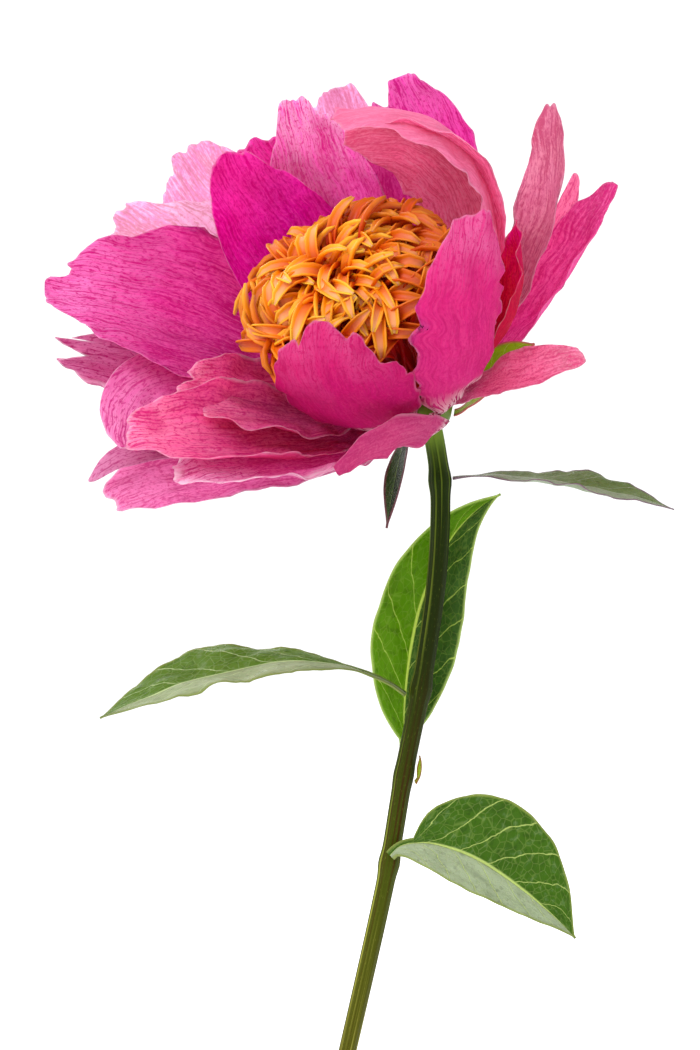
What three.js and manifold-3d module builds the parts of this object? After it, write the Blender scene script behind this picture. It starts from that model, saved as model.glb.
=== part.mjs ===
// A single-whorled peony standing in a narrow-necked bud vase.
// Millimetres, +Z up, +X to the right and +Y away from the viewer.
// The origin is the middle of the vase's flat base.

import * as THREE from 'three';
import Module from 'manifold-3d';
import { mergeVertices } from 'three/addons/utils/BufferGeometryUtils.js';

// ---------------------------------------------------------------- driving dimensions

const GAP = 0.3;                // clearance between pieces that touch

// the bottle-shaped vase
const VASE_HEIGHT = 130;
const VASE_WALL = 2.7;
const VASE_FLOOR = 6;           // thickness of the base
const FOOT_RADIUS = 27;
const BELLY_RADIUS = 34.5;
const BELLY_HEIGHT = 38;
const NECK_RADIUS = 10.8;
const NECK_HEIGHT = 114;
const LIP_RADIUS = 12;
const VASE_SIDES = 32;
const WATER_LEVEL = 86;

// the stem: centre line from its cut end to the flower, and its radius at both ends
const STEM_PATH = [
  [-22, 0, 6.8], [-7.4, 0, 70], [9, 0, 141], [16.6, 0, 175], [18.8, 0, 186], [22.4, 0.5, 208],
  [26.7, 1, 230], [30.2, 3, 253], [31.5, 5, 268], [31.6, 6.5, 282], [30.6, 7, 290], [29, 5.4, 298],
];
const STEM_RADIUS = [2.1, 2.6];
const NODES = [[186, 0.45], [208, 0.25], [230, 0.5], [282, 0.5]];  // height and swelling of each leaf joint
const NODE_REACH = 2.6;         // how far a joint's swelling reaches up and down
const STEM_SIDES = 10;
const STEM_RINGS = 44;

// the flower: its heart, and the way that it leans to the left and out towards the viewer
const HEART = [25.5, 0, 304];
const LEAN_LEFT = 33;           // degrees
const LEAN_FRONT = 40;          // degrees

// petals grow in five rings down the receptacle, the innermost first
const RING_RADIUS = [9.5, 9.5, 9.2, 8.6, 7.8];
const RING_HEIGHT = [2, 0, -2, -4, -6];
const RING_OPENING = [60, 66, 72, 78, 84];  // degrees between a petal's foot and the flower's axis
const PETAL_REACH = 20;         // length of the stretch that holds that opening
const PETAL_THICKNESS = 0.6;

// the boss of narrow golden staminodes
const STAMINODE_COUNT = 88;
const STAMINODE_WIDTH = 4;
const STAMINODE_THICKNESS = 1.2;
const BOSS_FOOT = 4.3;          // height of its foot above the heart, along the axis
const BOSS_RADIUS = 29.5;
const BOSS_HEIGHT = 52;
const BOSS_DROOP = 8;           // how much lower the outer tips are than the middle ones
const BOSS_SEED = 11;

const LEAF_THICKNESS = 0.7;

// ---------------------------------------------------------------- materials

const material = (color, roughness) => new THREE.MeshStandardMaterial({
  color, roughness, metalness: 0, side: THREE.FrontSide,
});
const CERAMIC = 0xf1ede4;
const WATER = 0xcfdfe0;
const STEM_GREEN = 0x74894a;
const LEAF_GREEN = 0x4f6a3a;
const BACKLIT_GREEN = 0x88a63e;
const GREY_GREEN = 0x7c8f72;
const LIME = 0xb6c94a;
const GOLD = 0xf0a52c;
const PALE_PINK = 0xf3a3cf;
const HOT_PINK = 0xe7589f;
const MAGENTA = 0xd92f93;
const CORAL_PINK = 0xee7c9c;

// ---------------------------------------------------------------- small helpers

const radians = (degrees) => degrees * Math.PI / 180;
const vector = (point) => new THREE.Vector3(...point);
const mix = (a, b, share) => a + (b - a) * share;

// A seeded random number between 0 and 1 (mulberry32).
function seeded(seed) {
  let state = seed;
  return () => {
    state = (state + 0x6d2b79f5) | 0;
    let bits = Math.imul(state ^ (state >>> 15), 1 | state);
    bits = (bits + Math.imul(bits ^ (bits >>> 7), 61 | bits)) ^ bits;
    return ((bits ^ (bits >>> 14)) >>> 0) / 4294967296;
  };
}

// Eased value at share s of a list of evenly spaced values.
function eased(values, s) {
  const last = values.length - 1;
  if (last === 0) {
    return values[0];
  }
  const x = Math.min(Math.max(s, 0), 1) * last;
  const i = Math.min(Math.floor(x), last - 1);
  const share = x - i;
  return mix(values[i], values[i + 1], share * share * (3 - 2 * share));
}

// ---------------------------------------------------------------- the flower's own axes

const heart = vector(HEART);
const axis = new THREE.Vector3(
  -Math.cos(radians(LEAN_FRONT)) * Math.sin(radians(LEAN_LEFT)),
  -Math.sin(radians(LEAN_FRONT)),
  Math.cos(radians(LEAN_FRONT)) * Math.cos(radians(LEAN_LEFT)),
);
const rise = new THREE.Vector3(0, 0, 1).addScaledVector(axis, -axis.z).normalize();
const across = new THREE.Vector3().crossVectors(rise, axis);

// Point round the flower's axis: 0 degrees lies to the right, 90 at the back, 180 to the left.
function spot(azimuth, radius, height) {
  return heart.clone()
    .addScaledVector(across, Math.cos(radians(azimuth)) * radius)
    .addScaledVector(rise, Math.sin(radians(azimuth)) * radius)
    .addScaledVector(axis, height);
}

// ---------------------------------------------------------------- blades

const RAIL_STEPS = 48;
const SECTION_STEPS = 6;

// Frames along a midrib, with the face's normal carried along it without twisting.
function rail(points, up) {
  const curve = new THREE.CubicBezierCurve3(...points);
  const places = [];
  const lengths = [0];
  for (let i = 0; i <= RAIL_STEPS; i += 1) {
    places.push(curve.getPoint(i / RAIL_STEPS));
    if (i > 0) {
      lengths.push(lengths[i - 1] + places[i].distanceTo(places[i - 1]));
    }
  }
  const tangents = places.map((place, i) => {
    const before = places[Math.max(i - 1, 0)];
    const after = places[Math.min(i + 1, RAIL_STEPS)];
    return after.clone().sub(before).normalize();
  });
  const normals = [up.clone().addScaledVector(tangents[0], -up.dot(tangents[0])).normalize()];
  for (let i = 1; i <= RAIL_STEPS; i += 1) {
    const carried = normals[i - 1].clone().addScaledVector(tangents[i], -normals[i - 1].dot(tangents[i]));
    normals.push(carried.normalize());
  }
  return { places, tangents, normals, shares: lengths.map((length) => length / lengths[RAIL_STEPS]) };
}

// Centre, direction, face normal and sideways direction at share s of the rail.
function frameAt(track, s, rolls) {
  let i = 0;
  while (i < RAIL_STEPS - 1 && track.shares[i + 1] < s) {
    i += 1;
  }
  const share = (s - track.shares[i]) / (track.shares[i + 1] - track.shares[i]);
  const centre = track.places[i].clone().lerp(track.places[i + 1], share);
  const ahead = track.tangents[i].clone().lerp(track.tangents[i + 1], share).normalize();
  const face = track.normals[i].clone().lerp(track.normals[i + 1], share);
  face.addScaledVector(ahead, -face.dot(ahead)).normalize();
  face.applyAxisAngle(ahead, radians(eased(rolls, s)));
  const side = new THREE.Vector3().crossVectors(ahead, face);
  return { centre, face, side };
}

// Share of a petal's half width: a narrow claw that swells to its widest place and rounds off.
function petalWidth(s, blade) {
  const x = Math.max(s, 1e-6) / blade.widest;
  return blade.claw + (1 - blade.claw) * (x * Math.exp(1 - x)) ** blade.neck;
}

// Share of the midrib's length that a petal reaches at t, which runs from -1 to 1 across it.
function petalEnd(t, blade) {
  let end = 1 - blade.round * Math.abs(t) ** 2.4;
  for (const [place, deep, wide] of blade.notches) {
    end -= deep * Math.max(0, 1 - Math.abs(t - place) / wide) ** 1.3;
  }
  return end;
}

const LEAF_TAPER = 1.2;         // how much a leaf narrows towards both ends: 1 gives a plain oval

// Share of a leaf's half width on one hand: a bare stalk, then a lance shape that ends in a point.
function leafWidth(s, hand, blade) {
  const x = Math.max(0, (s - blade.stalk[hand]) / (1 - blade.stalk[hand]));
  const rate = blade.widest[hand] / (1 - blade.widest[hand]);
  const peak = blade.widest[hand] ** rate * (1 - blade.widest[hand]);
  return blade.breadth[hand] * (x ** rate * (1 - x) / peak) ** LEAF_TAPER;
}

// The options of a blade. rib: four points that shape its midrib. up: the way its face looks at the foot.
// roll: degrees that the face is turned about the midrib, from foot to tip. fold, cup and curl: degrees
// that each hand is bent up at the midrib, evenly across, and at the edge. notches: place across the end,
// depth and width. ruffle: height, number and phase of the waves along both edges. claw, widest, neck and
// round shape a petal's outline. stalk, widest and breadth, for each hand, and least shape a leaf's.
const PLAIN_BLADE = {
  roll: [0], cup: [30, 30], fold: [0, 0], curl: [0, 0], notches: [], ruffle: [0, 1, 0],
  claw: 0.16, widest: 0.66, neck: 1.8, round: 0.35, rows: 8, columns: 6,
};

// Middle surface of a thin blade, as rows of points from its foot to its tip.
function bladeGrid(given) {
  const blade = { ...PLAIN_BLADE, ...given };
  const track = rail(blade.rib, blade.up);
  const leaf = blade.stalk !== undefined;
  const rows = [];
  for (let j = 0; j <= blade.rows; j += 1) {
    const row = [];
    for (let k = 0; k <= blade.columns; k += 1) {
      const t = mix(-1, 1, k / blade.columns);
      const hand = t < 0 ? 0 : 1;
      const s = (leaf ? 1 : petalEnd(t, blade)) * j / blade.rows;
      const { centre, face, side } = frameAt(track, s, blade.roll);
      const half = leaf
        ? Math.max(blade.half * leafWidth(s, hand, blade), mix(blade.least[0], blade.least[1], s))
        : blade.half * petalWidth(s, blade);
      const { out, lift } = crossSection(Math.abs(t) * half / blade.half, hand, blade);
      const [swell, waves, phase] = blade.ruffle;
      const wave = swell * t * t * s * Math.sin(2 * Math.PI * waves * s + phase + hand * 2);
      row.push(centre
        .addScaledVector(side, Math.sign(t) * out * blade.half)
        .addScaledVector(face, lift * blade.half + wave));
    }
    rows.push(row);
  }
  return rows;
}

// How far out and up the blade's cross-section has come at distance q (in half widths) from the midrib.
function crossSection(q, hand, blade) {
  let out = 0;
  let lift = 0;
  for (let m = 0; m < SECTION_STEPS; m += 1) {
    const x = (m + 0.5) / SECTION_STEPS * q;
    const angle = radians(blade.fold[hand] + blade.cup[hand] * x + blade.curl[hand] * x ** 3);
    out += Math.cos(angle) * q / SECTION_STEPS;
    lift += Math.sin(angle) * q / SECTION_STEPS;
  }
  return { out, lift };
}

// Closed slab round a grid of points, both faces split into triangles alike. Its thickness is a function
// of the share of the length.
function slab(grid, thicknessAt) {
  const rows = grid.length;
  const columns = grid[0].length;
  const points = [];
  for (const face of [1, -1]) {
    for (let j = 0; j < rows; j += 1) {
      for (let k = 0; k < columns; k += 1) {
        const along = grid[Math.min(j + 1, rows - 1)][k].clone().sub(grid[Math.max(j - 1, 0)][k]);
        const over = grid[j][Math.min(k + 1, columns - 1)].clone().sub(grid[j][Math.max(k - 1, 0)]);
        const normal = along.cross(over).normalize();
        points.push(grid[j][k].clone().addScaledVector(normal, face * thicknessAt(j / (rows - 1)) / 2));
      }
    }
  }
  const back = rows * columns;
  const at = (j, k) => j * columns + k;
  const index = [];
  for (let j = 0; j < rows - 1; j += 1) {
    for (let k = 0; k < columns - 1; k += 1) {
      const [a, b, c, d] = [at(j, k), at(j, k + 1), at(j + 1, k + 1), at(j + 1, k)];
      index.push(a, c, b, a, d, c);
      index.push(a + back, b + back, c + back, a + back, c + back, d + back);
    }
  }
  const rim = [];
  for (let k = 0; k < columns; k += 1) {
    rim.push(at(0, k));
  }
  for (let j = 1; j < rows; j += 1) {
    rim.push(at(j, columns - 1));
  }
  for (let k = columns - 2; k >= 0; k -= 1) {
    rim.push(at(rows - 1, k));
  }
  for (let j = rows - 2; j > 0; j -= 1) {
    rim.push(at(j, 0));
  }
  rim.forEach((from, i) => {
    const to = rim[(i + 1) % rim.length];
    index.push(from, to, to + back, from, to + back, from + back);
  });
  return closedGeometry(points, index);
}

// ---------------------------------------------------------------- geometry and booleans

const wasm = await Module();
wasm.setup();

// Signed volume of an indexed geometry, positive where its faces point out.
function signedVolume(points, index) {
  let sum = 0;
  for (let i = 0; i < index.length; i += 3) {
    const [a, b, c] = [points[index[i]], points[index[i + 1]], points[index[i + 2]]];
    sum += a.dot(new THREE.Vector3().crossVectors(b, c)) / 6;
  }
  return sum;
}

function closedGeometry(points, index) {
  const outward = signedVolume(points, index) > 0 ? index : index.slice().reverse();
  const geometry = new THREE.BufferGeometry();
  geometry.setFromPoints(points);
  geometry.setIndex(outward);
  return geometry;
}

function toSolid(geometry) {
  const bare = geometry.clone();
  bare.deleteAttribute('normal');
  bare.deleteAttribute('uv');
  const merged = mergeVertices(bare, 1e-4);
  return new wasm.Manifold(new wasm.Mesh({
    numProp: 3,
    vertProperties: new Float32Array(merged.attributes.position.array),
    triVerts: new Uint32Array(merged.index.array),
  }));
}

function toGeometry(solid) {
  const mesh = solid.getMesh();
  const geometry = new THREE.BufferGeometry();
  geometry.setAttribute('position', new THREE.BufferAttribute(mesh.vertProperties, 3));
  geometry.setIndex(new THREE.BufferAttribute(mesh.triVerts, 1));
  return geometry;
}

function fused(geometries) {
  const solids = geometries.map(toSolid);
  return toGeometry(wasm.Manifold.union(solids));
}

// Round bar along a list of centres, one radius for each, closed by flat ends.
function bar(centres, radii, sides) {
  const points = [];
  const index = [];
  let side = new THREE.Vector3(1, 0, 0);
  centres.forEach((centre, i) => {
    const before = centres[Math.max(i - 1, 0)];
    const after = centres[Math.min(i + 1, centres.length - 1)];
    const ahead = after.clone().sub(before).normalize();
    side = side.clone().addScaledVector(ahead, -side.dot(ahead)).normalize();
    const up = new THREE.Vector3().crossVectors(ahead, side);
    for (let k = 0; k < sides; k += 1) {
      const turn = 2 * Math.PI * k / sides;
      points.push(centre.clone()
        .addScaledVector(side, Math.cos(turn) * radii[i])
        .addScaledVector(up, Math.sin(turn) * radii[i]));
    }
  });
  for (let i = 0; i < centres.length - 1; i += 1) {
    for (let k = 0; k < sides; k += 1) {
      const next = (k + 1) % sides;
      const [a, b] = [i * sides + k, i * sides + next];
      index.push(a, b, b + sides, a, b + sides, a + sides);
    }
  }
  const last = (centres.length - 1) * sides;
  for (let k = 1; k < sides - 1; k += 1) {
    index.push(0, k + 1, k, last, last + k, last + k + 1);
  }
  return closedGeometry(points, index);
}

// ---------------------------------------------------------------- vase and water

// Outer radius of the vase by height, through its foot, belly, neck and lip.
const VASE_OUTLINE = new THREE.SplineCurve([
  new THREE.Vector2(FOOT_RADIUS, 0),
  new THREE.Vector2(mix(FOOT_RADIUS, BELLY_RADIUS, 0.72), BELLY_HEIGHT * 0.4),
  new THREE.Vector2(BELLY_RADIUS, BELLY_HEIGHT),
  new THREE.Vector2(mix(NECK_RADIUS, BELLY_RADIUS, 0.72), mix(BELLY_HEIGHT, NECK_HEIGHT, 0.38)),
  new THREE.Vector2(mix(NECK_RADIUS, BELLY_RADIUS, 0.2), mix(BELLY_HEIGHT, NECK_HEIGHT, 0.72)),
  new THREE.Vector2(NECK_RADIUS, NECK_HEIGHT),
  new THREE.Vector2(LIP_RADIUS, VASE_HEIGHT - 1),
]);
const OUTLINE_STEPS = 14;

function vaseWall(inset, lowest, highest) {
  return VASE_OUTLINE.getPoints(OUTLINE_STEPS)
    .filter((point) => point.y > lowest && point.y < highest)
    .map((point) => new THREE.Vector2(point.x - inset, point.y));
}

// Inner radius of the vase at a height, by the same outline.
function insideRadius(height) {
  let low = 0;
  let high = 1;
  for (let i = 0; i < 40; i += 1) {
    const middle = (low + high) / 2;
    if (VASE_OUTLINE.getPoint(middle).y < height) {
      low = middle;
    } else {
      high = middle;
    }
  }
  return VASE_OUTLINE.getPoint(low).x - VASE_WALL;
}

// LatheGeometry turns about Y, so its result is stood up along Z.
function turned(profile) {
  return new THREE.LatheGeometry(profile, VASE_SIDES).rotateX(Math.PI / 2);
}

function vaseGeometry() {
  const lip = [
    new THREE.Vector2(LIP_RADIUS, VASE_HEIGHT - 1),
    new THREE.Vector2(LIP_RADIUS - 0.9, VASE_HEIGHT),
    new THREE.Vector2(LIP_RADIUS - 2, VASE_HEIGHT),
    new THREE.Vector2(LIP_RADIUS - VASE_WALL, VASE_HEIGHT - 1),
  ];
  const profile = [
    new THREE.Vector2(0, 0),
    new THREE.Vector2(FOOT_RADIUS - 1, 0),
    new THREE.Vector2(FOOT_RADIUS + 0.4, 1.4),
    ...vaseWall(0, 2, VASE_HEIGHT - 1.5),
    ...lip,
    ...vaseWall(VASE_WALL, VASE_FLOOR + 3, VASE_HEIGHT - 1.5).reverse(),
    new THREE.Vector2(insideRadius(VASE_FLOOR + 3) - 1, VASE_FLOOR + 1.2),
    new THREE.Vector2(insideRadius(VASE_FLOOR + 3) - 3, VASE_FLOOR),
    new THREE.Vector2(0, VASE_FLOOR),
  ];
  return turned(profile);
}

function waterGeometry(stemHole) {
  const foot = VASE_FLOOR + GAP;
  const corner = insideRadius(VASE_FLOOR + 3) - 1 - GAP;
  const profile = [
    new THREE.Vector2(0, foot),
    new THREE.Vector2(corner - 2.2, foot),
    new THREE.Vector2(corner - 0.2, foot + 1.2),
    ...vaseWall(VASE_WALL + GAP, VASE_FLOOR + 3, WATER_LEVEL - 1),
    new THREE.Vector2(insideRadius(WATER_LEVEL) - GAP - 0.1, WATER_LEVEL),
    new THREE.Vector2(0, WATER_LEVEL),
  ];
  return toGeometry(toSolid(turned(profile)).subtract(toSolid(stemHole)));
}

// ---------------------------------------------------------------- stem and receptacle

const stemCurve = new THREE.CatmullRomCurve3(STEM_PATH.map(vector), false, 'centripetal');

function stemRadiusAt(share, height) {
  let radius = mix(STEM_RADIUS[0], STEM_RADIUS[1], share);
  for (const [level, swelling] of NODES) {
    radius += swelling * Math.exp(-(((height - level) / NODE_REACH) ** 2));
  }
  return radius;
}

// The bare stem, or the hole for it: wider by a clearance and run on below the cut end.
function stemBar(clearance) {
  const centres = stemCurve.getSpacedPoints(STEM_RINGS);
  const radii = centres.map((centre, i) => stemRadiusAt(i / STEM_RINGS, centre.z) + clearance);
  const ahead = centres[1].clone().sub(centres[0]).normalize();
  centres[0].addScaledVector(ahead, -10 * clearance);
  return bar(centres, radii, STEM_SIDES);
}

// The knob that carries the petals: radius and height along the flower's axis.
const RECEPTACLE = [[2.7, -12], [5.4, -9.6], [6.9, -7], [7.4, -5], [8.2, -3], [8.9, 0], [9, 2.4], [7.6, 4]];
const RECEPTACLE_SIDES = 20;

function stemGeometry() {
  const centres = RECEPTACLE.map(([, height]) => spot(0, 0, height));
  const radii = RECEPTACLE.map(([radius]) => radius);
  return fused([stemBar(0), bar(centres, radii, RECEPTACLE_SIDES)]);
}

// ---------------------------------------------------------------- petals

// Each petal: its place round the receptacle, its ring, where its midrib heads and ends (millimetres from
// the heart, to the right, away and up), its half width, and what bends it away from a plain blade.
const PETALS = {
  petal_left: {
    azimuth: 182, ring: 1, toward: [-56, -1, 26], tip: [-92, -4, 26], half: 25,
    roll: [10, 10, 10, 15], cup: [25, 25], neck: 2, widest: 0.68, round: 0.4,
    notches: [[-0.5, 0.04, 0.2], [0.3, 0.05, 0.2]], color: HOT_PINK,
  },
  petal_left_split: {
    azimuth: 199, ring: 4, toward: [-57, 5.5, 7.5], tip: [-91.5, 1.5, 11.5], half: 8, round: 0.15,
    opening: 93, roll: [-20, -40, -75], cup: [50, 30], claw: 0.25,
    notches: [[0.5, 0.07, 0.14], [0, 0.1, 0.4]], rows: 9, columns: 8, color: MAGENTA,
  },
  petal_left_arching: {
    azimuth: 209, ring: 2, toward: [-76, -9, 18], tip: [-70, -21, -13], half: 12,
    roll: [0, -10, -20], cup: [20, -15], claw: 0.3, color: MAGENTA,
  },
  petal_low_finger: {
    azimuth: 222, ring: 3, toward: [-64, -11, -4], tip: [-81, -12, -21], half: 5.5,
    roll: [-20], claw: 0.3, rows: 6, columns: 4, color: PALE_PINK,
  },
  petal_low_outer: {
    azimuth: 237, ring: 4, toward: [-53, -7, -13], tip: [-76.5, -9, -26], half: 11.5, reach: 16,
    opening: 89, roll: [-10, -20, -25], claw: 0.12, widest: 0.74, color: HOT_PINK,
  },
  petal_low_ruffled: {
    azimuth: 257, ring: 2, toward: [-38, -37, -12], tip: [-58, -46, -18.5], half: 14, reach: 18,
    roll: [-10, -15, -15], ruffle: [1.2, 2.5, 0], color: HOT_PINK,
  },
  petal_front: {
    azimuth: 280, ring: 0, toward: [-25, -58, -2], tip: [-22.5, -56, 18], half: 18.5,
    cup: [45, 45], notches: [[-0.3, 0.03, 0.1], [0.35, 0.07, 0.12]], color: HOT_PINK,
  },
  petal_front_right: {
    azimuth: 337, ring: 1, toward: [8, -66, 13], tip: [14, -56, 44], half: 14, neck: 1.4,
    roll: [0, -20, -25], cup: [50, 45], ruffle: [1, 2, 1], color: HOT_PINK,
  },
  petal_right_inner: {
    azimuth: 17, ring: 0, toward: [28, -20, 21], tip: [23, -23, 42], half: 12,
    cup: [50, 50], rows: 6, columns: 6, color: MAGENTA,
  },
  petal_back_right: {
    azimuth: 103, ring: 2, toward: [11, 26, 54], tip: [-4.5, 13, 79.5], half: 16.5, round: 0.22,
    notches: [[-0.4, 0.05, 0.25]], color: HOT_PINK,
  },
  petal_back_lobed: {
    azimuth: 125, ring: 1, toward: [-24, 18, 49], tip: [-30, 8, 74], half: 15,
    cup: [40, 40], notches: [[0.35, 0.05, 0.2]], color: MAGENTA,
  },
  petal_back: {
    azimuth: 114, ring: 3, toward: [-12, 39, 50], tip: [-22, 30, 78], half: 17,
    notches: [[-0.3, 0.05, 0.2]], color: PALE_PINK,
  },
  petal_back_left_inner: {
    azimuth: 147, ring: 0, toward: [-35, 12, 36], tip: [-48, 4, 60], half: 17, round: 0.45,
    color: MAGENTA,
  },
  petal_back_left_middle: {
    azimuth: 139, ring: 2, toward: [-29, 24, 42], tip: [-42, 16, 64], half: 16,
    notches: [[0.2, 0.04, 0.2]], color: HOT_PINK,
  },
  petal_back_left_outer: {
    azimuth: 150, ring: 4, toward: [-46, 50, 40], tip: [-61, 46, 63], half: 23, color: PALE_PINK,
  },
  petal_left_outer: {
    azimuth: 161, ring: 3, toward: [-53, 38, 33], tip: [-78, 33, 45], half: 19.5, color: PALE_PINK,
  },
  petal_right_tall: {
    azimuth: 60, ring: 3, toward: [38.5, 8, 36], tip: [33, 0, 73], half: 8.5,
    cup: [60, 60], rows: 7, columns: 6, color: HOT_PINK,
  },
  petal_right_low: {
    azimuth: 44, ring: 4, toward: [36.5, 14, 29.5], tip: [49.5, 10, 53], half: 8.8,
    cup: [60, 60], rows: 7, columns: 6, color: HOT_PINK,
  },
  petal_right_sliver: {
    azimuth: 72, ring: 4, toward: [37, 24, 30], tip: [41.5, 24, 56], half: 5,
    cup: [60, 60], rows: 6, columns: 4, color: CORAL_PINK,
  },
  petal_right_drooping: {
    azimuth: 8, ring: 3, toward: [20, -20, 5.5], tip: [40, -24, 10], half: 6.5, reach: 8, opening: 60,
    roll: [0, 0, 10], cup: [20, 20], claw: 0.4, rows: 6, columns: 6, color: CORAL_PINK,
  },
  petal_front_drooping: {
    azimuth: 318, ring: 3, toward: [-5, -48, -3], tip: [-19.5, -56, -16.5], half: 5.5, reach: 16, opening: 74,
    roll: [0, 25, 50], cup: [20, 20], claw: 0.4, rows: 6, columns: 4, color: CORAL_PINK,
  },
};

// Petals that are creased along their length: each is two blades grown together at the foot.
const CREASED_PETALS = {
  petal_folded_over: [
    {
      azimuth: 52.5, ring: 2, toward: [30, 2.5, 81.5], tip: [-20, -22.5, 66], half: 18,
      neck: 2.8, roll: [0, -20, -30, -30], cup: [50, 40], color: CORAL_PINK,
    },
    {
      azimuth: 54, ring: 2, toward: [23, -2, 71], tip: [-18, -20, 62], half: 14,
      neck: 2.4, roll: [0, 10, 20, 30], cup: [50, 40], color: CORAL_PINK,
    },
  ],
  petal_low_folded: [
    {
      azimuth: 241, ring: 1, toward: [-49, -44, -7], tip: [-69, -46, -8.5], half: 15,
      roll: [-10, -30, -35], cup: [60, 40], curl: [20, 40], color: CORAL_PINK,
    },
    {
      azimuth: 230, ring: 0, toward: [-40, -30, 1], tip: [-59, -34, 1], half: 15,
      roll: [0, -10, -20], notches: [[-0.4, 0.1, 0.2], [0.3, 0.1, 0.2]], color: CORAL_PINK,
    },
  ],
};

function petalGeometry(petal) {
  const radius = RING_RADIUS[petal.ring];
  const height = RING_HEIGHT[petal.ring];
  const opening = radians(petal.opening ?? RING_OPENING[petal.ring]);
  const reach = petal.reach ?? PETAL_REACH;
  const rib = [
    spot(petal.azimuth, radius, height),
    spot(petal.azimuth, radius + reach * Math.sin(opening), height + reach * Math.cos(opening)),
    vector(petal.toward).add(heart),
    vector(petal.tip).add(heart),
  ];
  return slab(bladeGrid({ ...petal, rib, up: axis }), () => PETAL_THICKNESS);
}

// ---------------------------------------------------------------- boss of staminodes

const GOLDEN_ANGLE = 137.508;      // degrees from each staminode to the next
const STAMINODE_ROWS = 4;
const STAMINODE_FOOT = [6.5, 16];  // radius and height where the outermost one starts
const STAMINODE_WAIST = 28;        // height above which they stop spreading
const TIP_LENGTH = 7;              // length of the stretch that hooks over

// The smaller core that the staminodes stand out of: radius and height along the axis.
const CORE = [[7.6, BOSS_FOOT], [9, 12], [14, 24], [20, 33], [20.5, 39], [15, 43.5], [5, 46]];
const CORE_SIDES = 16;

// Half width of a staminode at each of its rows: narrow at the foot, pinched at the tip.
function staminodeHalfWidth(row) {
  const share = row === STAMINODE_ROWS ? 0.3 : 1 - 0.25 * Math.abs(row - STAMINODE_ROWS / 2);
  return STAMINODE_WIDTH / 2 * share;
}

// Three-sided blade number i: the middle ones stand upright and the outer ones splay and hook over.
function staminode(i, random) {
  const share = Math.sqrt((i + 0.5) / STAMINODE_COUNT);
  const azimuth = i * GOLDEN_ANGLE;
  const sway = azimuth + (random() - 0.5) * 34;
  const height = BOSS_HEIGHT - BOSS_DROOP * share ** 3 + (random() - 0.5) * 5;
  const radius = BOSS_RADIUS * share;
  const hook = mix(4, -1, share) + (random() - 0.5) * 6;
  const curve = new THREE.CubicBezierCurve3(
    spot(azimuth, STAMINODE_FOOT[0] * share, STAMINODE_FOOT[1]),
    spot(azimuth, radius * 0.72, STAMINODE_WAIST),
    spot(sway, radius + 3 * share, height - TIP_LENGTH),
    spot(sway, Math.max(radius - hook, 0.5), height),
  );
  const facing = radians(random() * 50 - 25);
  const buried = mix(0.42, 0.04, share ** 1.5);  // share of the curve that the core hides
  const points = [];
  for (let j = 0; j <= STAMINODE_ROWS; j += 1) {
    const s = mix(buried, 1, j / STAMINODE_ROWS);
    const centre = curve.getPoint(s);
    const ahead = curve.getTangent(s);
    const inward = spot(sway, 0, height).sub(centre);
    inward.addScaledVector(ahead, -inward.dot(ahead)).normalize().applyAxisAngle(ahead, facing);
    const side = new THREE.Vector3().crossVectors(ahead, inward);
    const width = staminodeHalfWidth(j);
    const keel = STAMINODE_THICKNESS * (j === STAMINODE_ROWS ? 0.5 : 1);
    points.push(centre.clone().addScaledVector(side, width));
    points.push(centre.clone().addScaledVector(side, -width));
    points.push(centre.clone().addScaledVector(inward, -keel));
  }
  const index = [0, 1, 2];
  for (let j = 0; j < STAMINODE_ROWS; j += 1) {
    for (let k = 0; k < 3; k += 1) {
      const [a, b] = [j * 3 + k, j * 3 + (k + 1) % 3];
      index.push(a, a + 3, b, b, a + 3, b + 3);
    }
  }
  const last = STAMINODE_ROWS * 3;
  index.push(last, last + 2, last + 1);
  return closedGeometry(points, index);
}

function staminodesGeometry() {
  const random = seeded(BOSS_SEED);
  const core = bar(CORE.map(([, height]) => spot(0, 0, height)), CORE.map(([radius]) => radius), CORE_SIDES);
  const pieces = [core];
  for (let i = 0; i < STAMINODE_COUNT; i += 1) {
    pieces.push(staminode(i, random));
  }
  return fused(pieces);
}

// ---------------------------------------------------------------- leaves, bract and sepals

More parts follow.
